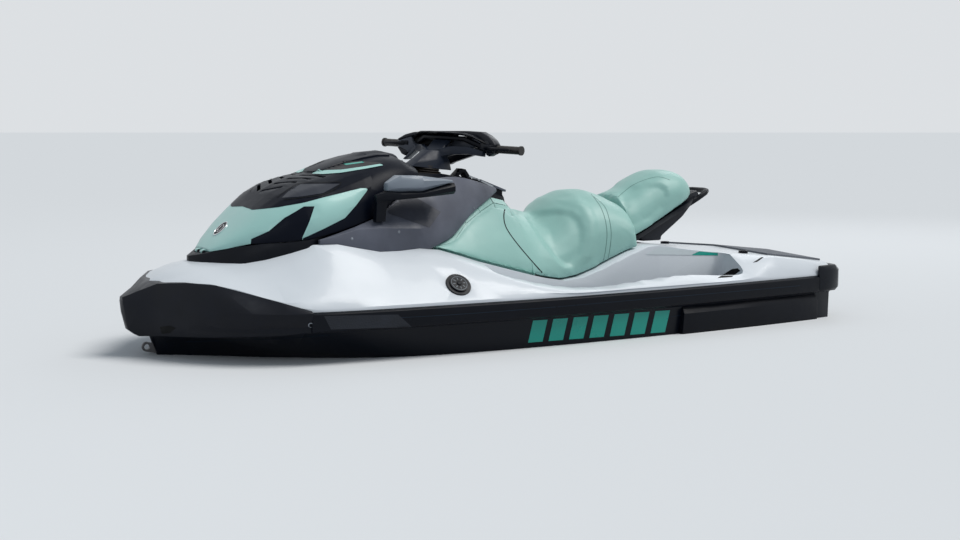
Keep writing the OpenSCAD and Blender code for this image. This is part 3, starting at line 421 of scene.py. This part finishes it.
def seam(name, tree, points, material, width=0.003, body="root", mirror=True, lift=0.0005):
    """A narrow line along picture points, laid on a surface."""
    spots = [s for s in (hit(tree, *p) for p in smoothed([(x, y) for x, y in points], 8)) if s]
    verts, faces = [], []
    for i, (place, normal) in enumerate(spots):
        along = spots[min(i + 1, len(spots) - 1)][0] - spots[max(i - 1, 0)][0]
        side = along.cross(normal).normalized() * width / 2
        verts += [place - side + normal * lift, place + side + normal * lift]
        if i:
            faces.append([2 * i - 2, 2 * i - 1, 2 * i + 1, 2 * i])
    return piece(name, verts, faces, material, body, mirror)


def lathe(name, profile, place, normal, material, body="root", parts=32, mirror=False):
    """A turned piece: profile of (radius, height) along a normal at a place."""
    turn = Vector(normal).to_track_quat("Z", "Y").to_matrix()
    verts, faces = [], []
    for r, h in profile:
        for k in range(parts):
            angle = 2 * math.pi * k / parts
            verts.append(Vector(place) + turn @ Vector((r * math.cos(angle), r * math.sin(angle), h)))
    for j in range(len(profile) - 1):
        a, b = j * parts, (j + 1) * parts
        for k in range(parts):
            following = (k + 1) % parts
            faces.append([a + k, a + following, b + following, b + k])
    faces.append(list(range((len(profile) - 1) * parts, len(profile) * parts)))
    obj = piece(name, verts, faces, material, body, mirror)
    split_edges(obj, 35)
    return obj


def inside(outline, x, y):
    """Signed distance in the picture to an outline: positive inside."""
    best, odd = 1e9, False
    for (ax, ay), (bx, by) in zip(outline, outline[1:] + outline[:1]):
        dx, dy = bx - ax, by - ay
        t = max(0, min(1, ((x - ax) * dx + (y - ay) * dy) / (dx * dx + dy * dy)))
        best = min(best, math.hypot(x - ax - t * dx, y - ay - t * dy))
        if (ay > y) != (by > y) and x < (bx - ax) * (y - ay) / (by - ay) + ax:
            odd = not odd
    return best if odd else -best


def plate(name, outline, centre, facing, front, back, material, body="root", bevel=0.004,
          mirror=False):
    """A solid with this outline in the picture, so thick before and behind an upright plane."""
    facing = Vector(facing).normalized()
    base = []
    for x, y in outline:
        way = ray(x, y)
        spot = EYE + way * ((Vector(centre) - EYE).dot(facing) / way.dot(facing))
        spot.z = min(spot.z, CAD_BOX[1][2] - 0.001)
        base.append(spot)
    return slab(name, base, facing * front, -facing * back, material, body, bevel, mirror)


def slab(name, base, near, far, material, body="root", bevel=0.004, mirror=False):
    """A closed solid between two shifted copies of an outline, with softened edges."""
    n = len(base)
    verts = [Vector(p) + near for p in base] + [Vector(p) + far for p in base]
    faces = [list(range(n)), list(range(2 * n - 1, n - 1, -1))]
    faces += [[i, i + n, (i + 1) % n + n, (i + 1) % n] for i in range(n)]
    obj = piece(name, verts, faces, material, body, mirror)
    bm = bmesh.new()
    bm.from_mesh(obj.data)
    bmesh.ops.recalc_face_normals(bm, faces=bm.faces[:])
    bm.to_mesh(obj.data)
    bm.free()
    soften(obj, bevel, 3, 28)
    split_edges(obj, 32)
    return obj


PUFF_FRAMES = 16


def pad(name, nodes, material, voxel=0.010, shrink=0.003, soften=16, dents=(), tuck=None):
    """A padded piece from the space of its CAD solids.

    It is remeshed, pulled in and dented, and a short cloth run puffs it out again.
    """
    bm = bmesh.new()
    for node in nodes:
        bm.from_mesh(NODES[node].data)
    bmesh.ops.remove_doubles(bm, verts=bm.verts[:], dist=1e-5)
    mesh = bpy.data.meshes.new(name)
    bm.to_mesh(mesh)
    bm.free()
    obj = bpy.data.objects.new(name, mesh)
    SCENE.collection.objects.link(obj)
    bpy.context.view_layer.objects.active = obj
    remesh = obj.modifiers.new("remesh", "REMESH")
    remesh.mode, remesh.voxel_size = "VOXEL", voxel
    soft = obj.modifiers.new("soft", "SMOOTH")
    soft.factor, soft.iterations = 0.5, soften
    settle(obj)
    mesh = obj.data
    normals = [v.normal.copy() for v in mesh.vertices]
    for v, normal in zip(mesh.vertices, normals):
        v.co -= normal * shrink
        if normal.z > -0.3:
            px, py = seen_at(v.co)
            for outline, depth, feather in dents:
                d = inside(outline, px, py)
                if d > -feather:
                    t = min(1, (d + feather) / (2 * feather))
                    v.co -= normal * depth * t * t * (3 - 2 * t)
        if tuck and v.co.x < tuck[0]:
            v.co.x = tuck[0] + (v.co.x - tuck[0]) * tuck[1]
    mesh.update()
    even = obj.modifiers.new("even", "SMOOTH")
    even.factor, even.iterations = 0.5, 3
    settle(obj)
    mesh = obj.data
    start = [v.co.copy() for v in mesh.vertices]
    cloth = obj.modifiers.new("cloth", "CLOTH")
    cloth.settings.use_pressure, cloth.settings.uniform_pressure_force = True, 4
    cloth.settings.effector_weights.gravity = 0
    cloth.settings.quality = 4
    cloth.point_cache.frame_start, cloth.point_cache.frame_end = 1, PUFF_FRAMES
    for number in range(1, PUFF_FRAMES + 1):
        SCENE.frame_set(number)
    puffed = obj.evaluated_get(bpy.context.evaluated_depsgraph_get()).data
    for v, old, new in zip(mesh.vertices, start, [p.co.copy() for p in puffed.vertices]):
        move = new - old
        v.co = old + (move * (shrink / move.length) if move.length > shrink else move)
    obj.modifiers.clear()
    SCENE.frame_set(1)
    rounder = obj.modifiers.new("rounder", "SUBSURF")
    rounder.levels = rounder.render_levels = 1
    settle(obj)
    obj.data.polygons.foreach_set("use_smooth", [True] * len(obj.data.polygons))
    obj.data.materials.clear()
    obj.data.materials.append(material)
    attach(obj, "root")
    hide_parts(*nodes)
    return obj


def settle(obj):
    """Applies every modifier of an object."""
    made = obj.evaluated_get(bpy.context.evaluated_depsgraph_get())
    mesh = bpy.data.meshes.new_from_object(made)
    obj.modifiers.clear()
    obj.data = mesh


camera()
surroundings()

# every CAD node in its material
M = {
    "hull_navy": gelcoat("hull_gelcoat", NAVY, 0.34, coat=0.05, specular=0.16),
    "deck_white": gelcoat("deck_gelcoat", WHITE, 0.34, 0.02, coat=0.15, specular=0.35),
    "mint": gelcoat("mint_gelcoat", MINT, 0.36, 0.04, coat=0.2, specular=0.35),
    "black_plastic": moulded("black_moulding", BLACK, 0.4),
    "grey_plastic": moulded("grey_moulding", GREY, 0.42, specular=0.35),
    "silver_plastic": gelcoat("silver_paint", SILVER, 0.36, 0.05, coat=0.08, specular=0.35),
    "mirror": Surface("mirror_face", (0.9, 0.9, 0.92), 0.03, metal=1.0).smudges(0.01, 40).mat,
    "vinyl_mint": vinyl("seat_vinyl", SEAT_MINT),
    "rubber": moulded("rubber_skin", (0.009, 0.007, 0.006), 0.5, 500, specular=0.4),
    "mat_rubber": foam_mat("mat_foam", MAT_GREY),
    "pump_alloy": metal("cast_alloy", ALLOY, 0.42, (8, 8, 8)),
    "steel": metal("bright_steel", (0.6, 0.6, 0.61), 0.25),
    "engine_alloy": metal("engine_casting", (0.2, 0.2, 0.2), 0.6, (8, 8, 8)),
    "display_glass": gelcoat("display_face", (0.01, 0.012, 0.015), 0.08),
}
BEVELS = {"deck": 0.004, "lower_hull": 0.003, "nose_bumper": 0.005, "rub_rails": 0.003,
          "stern_bumpers": 0.006, "hood_shell": 0.0025,
          "hood_cowl": 0.002, "side_panels": 0.004, "storage_tray": 0.003, "mirror_housings": 0.005,
          "mirror_arms": 0.003, "console": 0.003,
          "steering_riser": 0.004, "handlebar_cover": 0.002, "glovebox_lid": 0.0015, "sponsons": 0.003,
          "grab_handle": 0.003}
for part in frame["record"]["subparts"]:
    dress(part["node"], M[part["material_slot"]], bevel=BEVELS.get(part["node"], 0))
ribbed = Surface("grip_rubber", (0.010, 0.008, 0.007), 0.42, specular=0.5)
ribbed.mottle(0.2, 30).smudges(0.1, 60)
ribbed.bump(ribbed.bands(52, (0, 0, -2.03)), 0.5, 0.0012).bump(ribbed.cells(600), 0.2, 0.0004)
satin = gelcoat("cowl_satin", (0.0020, 0.0038, 0.0095), 0.38, 0.1, coat=0.0, specular=0.09)
for node, finish in (("steering_riser", moulded("riser_moulding", (0.013, 0.018, 0.030), 0.38,
                                                specular=0.2)),
                     ("nose_bumper", moulded("bumper_moulding", (0.0046, 0.0062, 0.0115), 0.36,
                                             coat=0.03, specular=0.18, relief=0.6)),
                     ("stern_bumpers", moulded("corner_moulding", (0.0050, 0.0070, 0.0120), 0.32,
                                               coat=0.06, specular=0.2, relief=0.6)),
                     ("hood_cowl", satin),
                     ("grips", ribbed.mat),
                     ("bow_eye", metal("dull_steel", (0.10, 0.10, 0.105), 0.5))):
    NODES[node].data.materials[0] = finish

# padded seats, with the knee skirt under the same cover as the rider's seat
SEAT_SIDE = [(526, 216), (540, 213), (558, 211), (571, 213), (579, 219), (583, 229), (583, 242),
             (580, 255), (573, 266), (565, 266), (555, 257), (540, 237)]
CRESCENT = [(558, 201), (577, 199), (590, 207), (596, 221), (596, 239), (591, 257), (583, 264),
            (588, 244), (588, 224), (580, 209), (566, 205)]
PASSENGER_SIDE = [(621, 195), (632, 188), (648, 185), (660, 185), (667, 189), (669, 197), (664, 208),
                  (650, 220), (634, 228), (622, 219)]
seat = pad("rider_seat", ["seat_front", "knee_skirt"], M["vinyl_mint"],
           dents=[(SEAT_SIDE, 0.014, 3.2), (CRESCENT, -0.006, 3.5)])
perch = pad("passenger_seat", ["seat_rear"], M["vinyl_mint"], voxel=0.008,
            dents=[(PASSENGER_SIDE, 0.010, 3.0)], tuck=(-0.80, 0.88))

# the skirt's own edges, so that no gap opens beside the panels and deck
liner_mesh = NODES["knee_skirt"].data
LINER_DEPTH = 0.0100
piece("skirt_liner", [v.co - v.normal * LINER_DEPTH for v in liner_mesh.vertices],
      [list(p.vertices) for p in liner_mesh.polygons], M["vinyl_mint"], smooth=False)

# lines and films
# black for seam lines, and as painted shade for the tie-down slots and the towing recess
seam_and_shade_black = moulded("seam_and_painted_shade_black", (0.003, 0.0035, 0.004), 0.6)
thread = moulded("seam_mint", tuple(c * 0.45 for c in SEAT_MINT), 0.6)
teal = gelcoat("teal_film", TEAL, 0.3, 0.03, coat=0.2)
chalk = gelcoat("white_film", (0.74, 0.81, 0.83), 0.3, 0.01, coat=0.2)
seat_skin, perch_skin = skin_of(seat), skin_of(perch)
cowl_skin, hood_skin = skin_of("hood_cowl", "hood_shell"), skin_of("hood_shell")
deck_skin, hull_skin = skin_of("deck"), skin_of("lower_hull", "rub_rails")
bumper_skin, panel_skin = skin_of("nose_bumper"), skin_of("side_panels")
seam("seat_gap_line", seat_skin, [(508, 203), (504.2, 212), (504.6, 223), (510, 234), (524, 252),
                                  (546, 277)], seam_and_shade_black, 0.006)
BOLSTER_EDGE = [(600, 206), (605, 219), (607, 234), (605.5, 250), (603, 262)]
for k, shift in enumerate((0, 4.2)):
    upper_end = (591 + shift * 0.6, 194 + shift * 0.6)
    line = [upper_end] + [(x + shift, y) for x, y in BOLSTER_EDGE]
    seam(f"bolster_seam_{k}", seat_skin, line, thread, 0.0028)
seam("passenger_seam", perch_skin, [(618, 197), (634, 184.5), (656, 177), (670, 180)], thread, 0.0024)


# the inner wall's foot rises forward from this place, and its top lies over this distance from the middle
WALL_AFT, WALL_FOOT, WALL_SLOPE, WALL_TOP_Y = -0.62, 0.330, 0.057, 0.288
FILM_HEIGHT, FILM_LIFT = 0.034, 0.0012


def wall_film(name, start, end, lean, material):
    """A film on the footwell's inner wall, from x to x at its foot, with ends that lean aft."""
    verts, faces, columns, rows = [], [], 24, 4
    for i in range(columns + 1):
        for j in range(rows + 1):
            share, rise = i / columns, j / rows
            x = start + (end - start) * share + (lean[0] + (lean[1] - lean[0]) * share) * rise
            foot = WALL_FOOT + WALL_SLOPE * (x - WALL_AFT)
            brow = deck_skin.ray_cast(Vector((x, WALL_TOP_Y, 1)), DOWN)[0]
            head = min(foot + FILM_HEIGHT, brow.z - 0.003)
            outside = Vector((x, 0.9, foot + (head - foot) * rise))
            place, normal, _, _ = deck_skin.ray_cast(outside, Vector((0, -1, 0)))
            verts.append(place + normal * (FILM_LIFT if normal.y > 0 else -FILM_LIFT))
            if i and j:
                n = i * (rows + 1) + j
                faces.append([n, n - 1, n - rows - 2, n - rows - 1])
    piece(name, verts, faces, material, "root", mirror=True)


wall_film("wall_film_white", WALL_AFT, -0.883, (-0.076, -0.047), chalk)
wall_film("wall_film_teal", -0.886, -1.035, (-0.047, 0.0), teal)
BARS, BAR_START, BAR_PITCH, BAR_CLIMB = 7, 528, 20.4, 0.077
SIDE_BAR = [(5, 320.5), (19.5, 319.6), (14.5, 341.5), (0, 342.6)]
for k in range(BARS):
    x = BAR_START + BAR_PITCH * k
    rise = -(x - BAR_START) * BAR_CLIMB
    outline = [(x + dx, y + rise) for dx, y in SIDE_BAR]
    decal(f"side_bar_{k}", hull_skin, outline, teal, cell=4)
# tie-down slots: flat black films, painted shade where the slots' openings are
decal("tie_slot_large_painted_shade", deck_skin, [(717.5, 278), (731.7, 269.2), (737.5, 268.2), (740.5, 270.6),
                                    (731.7, 277)], seam_and_shade_black, cell=1.5)
decal("tie_slot_small_painted_shade", deck_skin, [(752.8, 262.6), (761.5, 257.2), (763.6, 257.4), (757, 262)], seam_and_shade_black,
      cell=1.5)

# cowl: cap panel with its mint rim and teal dash, scoop face with dark border
cap_brown = moulded("cap_panel", (0.030, 0.028, 0.030), 0.55, specular=0.3)
dusk = gelcoat("scoop_face", (0.010, 0.014, 0.026), 0.3, 0.05, coat=0.1)
decal("cap_panel", cowl_skin, [(322, 170.4), (331, 166), (343, 161.6), (356, 161), (384, 163),
                               (365, 166.4), (341, 169.8)], cap_brown, "hood",
      lift=0.0010, cell=1.5)
decal("cap_dash", cowl_skin, [(343.5, 164.2), (363, 161.8), (364.5, 162.8), (346, 165.4)], teal, "hood",
      lift=0.0018, cell=1.5)
decal("cap_rim", cowl_skin, [(312, 174), (319, 169.4), (322, 170.6), (341, 170), (365, 166.6),
                             (381, 164), (383, 165.6), (363, 169.4), (341, 173), (323, 174.4)],
      M["mint"], "hood", lift=0.0018, cell=1.5)
HOOD_EDGE = [(322, 270), (262, 336), (300, 352), (362, 374), (430, 368), (500, 360), (640, 335),
             (740, 308), (830, 286), (940, 258), (972, 258), (992, 276),
             (1004, 230), (994, 180), (860, 200), (700, 222), (520, 258), (390, 300)]
HOOD_CROP = (185, 140, 5.357)
decal("cowl_film", cowl_skin, from_crop(HOOD_CROP, HOOD_EDGE), satin, "hood",
      lift=0.0010, cell=1.5)
decal("scoop_face", cowl_skin, [(282, 198), (289.5, 190.8), (300.7, 184.6), (340, 184.2), (323, 193.5),
                                (300, 197)], dusk, "hood", cell=1.5, lift=0.0018)
seam("scoop_edge", cowl_skin, [(277, 198), (290, 188.5), (301, 183.4), (320, 182.8), (341, 183.2),
                               (326, 193.8), (300, 198.2), (284, 200)], seam_and_shade_black, 0.004, "hood", lift=0.0024)

# nose: groove, bolt, towing recess as a flat patch of painted shade, and honeycomb grip on the rail
edge_blue = moulded("groove_blue", (0.010, 0.018, 0.030), 0.35)
comb = Surface("comb_grip", (0.011, 0.014, 0.021), 0.5, specular=0.3)
comb.mottle(0.2, 20).smudges(0.1, 40).bump(comb.cells(110, "DISTANCE_TO_EDGE"), 0.9, 0.002)
front_skin = skin_of("nose_bumper", "rub_rails")
seam("bumper_groove", skin_of("nose_bumper", "rub_rails", "lower_hull"), [(186, 341.5), (220, 340.5),
                                                                          (262, 339.3), (300, 337.4),
                                                                          (329, 334.6)], edge_blue,
     0.004)
# towing recess: a flat black film, painted shade in place of the recess
decal("tow_recess_painted_shade", bumper_skin, [(160, 327), (170, 325.5), (176, 328), (170, 333), (162, 334)], seam_and_shade_black,
      cell=2)
decal("comb_grip", front_skin, [(324, 316), (398, 314.5), (412, 327), (331, 329.5)], comb.mat,
      cell=3)
seam("hull_crease", hull_skin, [(640, 321.5), (703.7, 312), (760, 306.8), (816, 301)], edge_blue, 0.003)
seam("rail_lip", skin_of("rub_rails"), [(330, 320), (420, 316.6), (520, 309.8), (640, 299.6),
                                        (740, 291), (800, 285.6)], edge_blue, 0.003)
bolt_ring = metal("bolt_ring", (0.20, 0.22, 0.25), 0.35)


def stud(name, tree, px, py, profile, material, body="root", mirror=True, parts=24):
    """A turned fitting seated where the picture shows it, and on the other side."""
    spot = hit(tree, px, py)
    if spot:
        lathe(name, profile, spot[0], spot[1], material, body, parts, mirror)


stud("nose_bolt_ring", front_skin, 311, 325, [(0.011, -0.002), (0.011, 0.002), (0.0095, 0.003),
                                              (0.008, 0.003), (0.0075, 0.001)], bolt_ring)
stud("nose_bolt", front_skin, 311, 325, [(0.0065, -0.002), (0.0065, 0.0018), (0.005, 0.0028),
                                         (0.0022, 0.0028), (0.0018, 0.0012)], M["black_plastic"])
for k, (px, py) in enumerate(((399, 232), (352, 239), (474, 208))):
    stud(f"panel_screw_{k}", panel_skin, px, py, [(0.0055, -0.001), (0.0055, 0.0010), (0.0042, 0.0018),
                                                  (0.002, 0.0018), (0.0016, 0.0006)], bolt_ring)


# radius and half width of a cap mark at its two ends
CAP_MARKS, CAP_MARK_ENDS = 8, ((0.016, 0.0012), (0.027, 0.0024))


def fuel_cap_face():
    """Bright ring, hub and plain marks on the filler cap."""
    cap_spot = hit(skin_of("fuel_cap"), 452, 285.6)
    if cap_spot:
        normal = cap_spot[1]
        rim = [v.co for v in NODES["fuel_cap"].data.vertices]
        top = max(p.dot(normal) for p in rim)
        face = [p for p in rim if p.dot(normal) > top - 0.0012]
        place = sum(face, Vector()) / len(face)
        mark = moulded("cap_marks", (0.22, 0.24, 0.26), 0.5)
        lathe("fuel_cap_ring", [(0.034, -0.001), (0.034, 0.0010), (0.0332, 0.0014), (0.0318, 0.0014),
                                (0.0312, -0.002)], place, normal, mark, "root", 40)
        turn = normal.to_track_quat("Z", "Y").to_matrix()
        verts, faces = [], []
        for k in range(CAP_MARKS):
            angle = 2 * math.pi * k / CAP_MARKS
            for r, w in CAP_MARK_ENDS:
                for side in (-1, 1):
                    x = r * math.cos(angle) - side * w * math.sin(angle)
                    y = r * math.sin(angle) + side * w * math.cos(angle)
                    verts.append(place + turn @ Vector((x, y, 0.0012)))
            n = 4 * k
            faces.append([n, n + 1, n + 3, n + 2])
        piece("fuel_cap_marks", verts, faces, mark, "root", smooth=False)
        lathe("fuel_cap_hub", [(0.010, -0.001), (0.010, 0.0030), (0.008, 0.0042), (0.003, 0.0042)],
              place, normal, M["black_plastic"], "root", 24)


fuel_cap_face()

# side panels: painted shade, a darker film laid on the recessed facet under the mirror in place of its
# shading
decal("panel_facet_painted_shade", panel_skin, [(384, 203), (414.6, 197), (440.7, 211.9), (429.5, 227.7),
                                  (388.5, 213.5)],
      moulded("panel_painted_shade", (0.050, 0.054, 0.070), 0.45, specular=0.3), cell=3,
      lift=0.0012)
seam("console_strip", skin_of("console", "side_panels", "glovebox_lid"),
     [(469, 176), (480, 180.4), (492, 186), (499, 189.5)], gelcoat("strip_silver", (0.5, 0.53, 0.56),
                                                                   0.3), 0.007, lift=0.0015)


def emblem():
    """Plain disc with two rings, on the hood's middle line."""
    spot = hit(hood_skin, 221.8, 228.8)
    if spot:
        centre, normal, _, _ = hood_skin.ray_cast(Vector((spot[0].x, 0.0, 1.2)), DOWN)
        lathe("emblem_disc", [(0.034, -0.005), (0.034, 0.002), (0.0325, 0.0032), (0.030, 0.0032),
                              (0.0295, 0.0024), (0.0001, 0.0024)], centre, normal,
              gelcoat("emblem_face", (0.004, 0.005, 0.007), 0.4, coat=0.0, specular=0.1), "hood",
              48)
        bright = metal("emblem_rim", (0.7, 0.7, 0.72), 0.22)
        lathe("emblem_ring", [(0.0375, -0.005), (0.0375, 0.0026), (0.0360, 0.0038), (0.0340, 0.0038),
                              (0.0330, 0.0010)], centre, normal, bright, "hood", 48)
        lathe("emblem_inner_ring", [(0.020, 0.001), (0.020, 0.0030), (0.0195, 0.0034), (0.0175, 0.0034),
                                    (0.0170, 0.0010)], centre, normal, bright, "hood", 40)


emblem()

# handlebar: pad, dark well, faceted arms and switch housings about the bar's own upright plane
BAR, AHEAD = (0.172, -0.067, 0.84), (0.899, 0.438, 0)
BAR_CROP = (370, 120, 8.824)


def bar_plate(name, outline, front, back, material, bevel=0.004):
    """A plate that turns with the handlebar, its outline read off an enlarged crop."""
    return plate(name, from_crop(BAR_CROP, outline), BAR, AHEAD, front, back, material, "steering",
                 bevel)


arm_grey = moulded("arm_grey", (0.075, 0.083, 0.105), 0.38, specular=0.35)
arm_dark = moulded("arm_dark", (0.010, 0.012, 0.018), 0.36, specular=0.3)
bar_plate("bar_well", [(380, 165), (400, 128), (520, 112), (640, 110), (745, 118), (775, 135),
                       (745, 195), (690, 235), (600, 262), (470, 262), (420, 215)], 0.004, 0.010, seam_and_shade_black,
          0.002)
bar_plate("bar_pad", [(262, 165), (330, 126), (400, 106), (480, 98), (560, 86), (700, 79), (850, 83),
                      (1000, 106), (1060, 140), (1105, 182), (1130, 226), (1118, 246),
                      (1056, 240), (1000, 190), (920, 152), (780, 130), (640, 120), (520, 122),
                      (400, 138), (330, 158), (275, 178)], 0.020, 0.024, arm_dark,
          0.006)
bar_plate("port_arm", [(640, 246), (750, 192), (800, 142), (905, 152), (1015, 182), (960, 236),
                       (800, 276), (700, 268)], 0.018, 0.020, arm_grey, 0.005)
bar_plate("port_underarm", [(690, 270), (800, 280), (962, 240), (1060, 262), (1050, 292), (940, 304),
                            (830, 342), (740, 372), (700, 395), (672, 372), (668, 300)], 0.008, 0.024,
          arm_dark, 0.005)
bar_plate("port_switch", [(1012, 186), (1064, 182), (1082, 232), (1112, 254), (1112, 298), (1072, 324),
                          (1042, 306), (1052, 280), (962, 252)], 0.022, 0.020, arm_dark,
          0.005)
bar_plate("starboard_arm", [(252, 186), (300, 166), (386, 142), (396, 188), (438, 224), (400, 262),
                            (352, 290), (330, 268), (268, 232)], 0.018, 0.020, arm_grey,
          0.005)
bar_plate("starboard_brace", [(398, 196), (482, 252), (436, 262), (398, 300), (345, 348), (322, 340),
                              (382, 282), (426, 232)], 0.030, 0.012, arm_grey, 0.004)
bar_plate("starboard_switch", [(262, 236), (292, 240), (346, 264), (350, 298), (330, 314), (300, 296)],
          0.020, 0.020, arm_dark, 0.004)

# ribbed boot round the foot of the steering column
COLUMN_FOOT, COLUMN_RAKE = Vector((0.335, 0, 0.712)), math.radians(6)
lathe("steering_boot", [(0.086, -0.026), (0.084, -0.012), (0.074, -0.008), (0.079, -0.003),
                        (0.067, 0.002), (0.072, 0.007), (0.060, 0.011), (0.058, 0.022)],
      COLUMN_FOOT, Vector((-math.sin(COLUMN_RAKE), 0, math.cos(COLUMN_RAKE))), M["rubber"],
      "steering", 40)

# body of the grab handle under the passenger seat
GRAB_SIDE = [(-0.716, 0.405), (-0.837, 0.452), (-0.954, 0.531), (-1.004, 0.588), (-1.050, 0.602),
             (-1.066, 0.582), (-1.022, 0.534),
             (-0.975, 0.483), (-0.959, 0.470), (-0.850, 0.391), (-0.848, 0.372), (-0.740, 0.372)]
GRAB_HALF = Vector((0, 0.118, 0))
slab("grab_body", [(x, 0, z) for x, z in GRAB_SIDE], GRAB_HALF, -GRAB_HALF, arm_dark, "root",
     0.008)


def display_face():
    """Frame and two plain dials on the glass, which faces the rider."""
    side_bar, end_bar = 0.008, 0.007
    low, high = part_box("gauge_display")
    glow = Surface("dial_ink", (0.28, 0.42, 0.46), 0.4).mottle(0.1, 40).smudges(0.05, 40).mat
    frame_verts, frame_faces = [], []
    for k, (y, z) in enumerate(((low[1], low[2]), (high[1], low[2]), (high[1], high[2]),
                                (low[1], high[2]))):
        inner_y = y + (side_bar if y == low[1] else -side_bar)
        inner_z = z + (end_bar if z == low[2] else -end_bar)
        proud, sunk = low[0] - 0.0030, low[0] + 0.001
        frame_verts += [Vector((proud, y, z)), Vector((proud, inner_y, inner_z)), Vector((sunk, y, z))]
    for k in range(4):
        a, b = 3 * k, 3 * ((k + 1) % 4)
        frame_faces += [[a, b, b + 1, a + 1], [a, a + 2, b + 2, b]]
    piece("display_frame", frame_verts, frame_faces, M["black_plastic"], "hood",
          smooth=False)
    for k, y in enumerate((-0.036, 0.036)):
        lathe(f"display_dial_{k}", [(0.021, -0.0004), (0.021, 0.0010), (0.0195, 0.0012),
                                    (0.0185, 0.0010), (0.0185, -0.0006)],
              Vector((low[0], y, (low[2] + high[2]) / 2)), Vector((-1, 0, 0)), glow, "hood",
              36)


display_face()
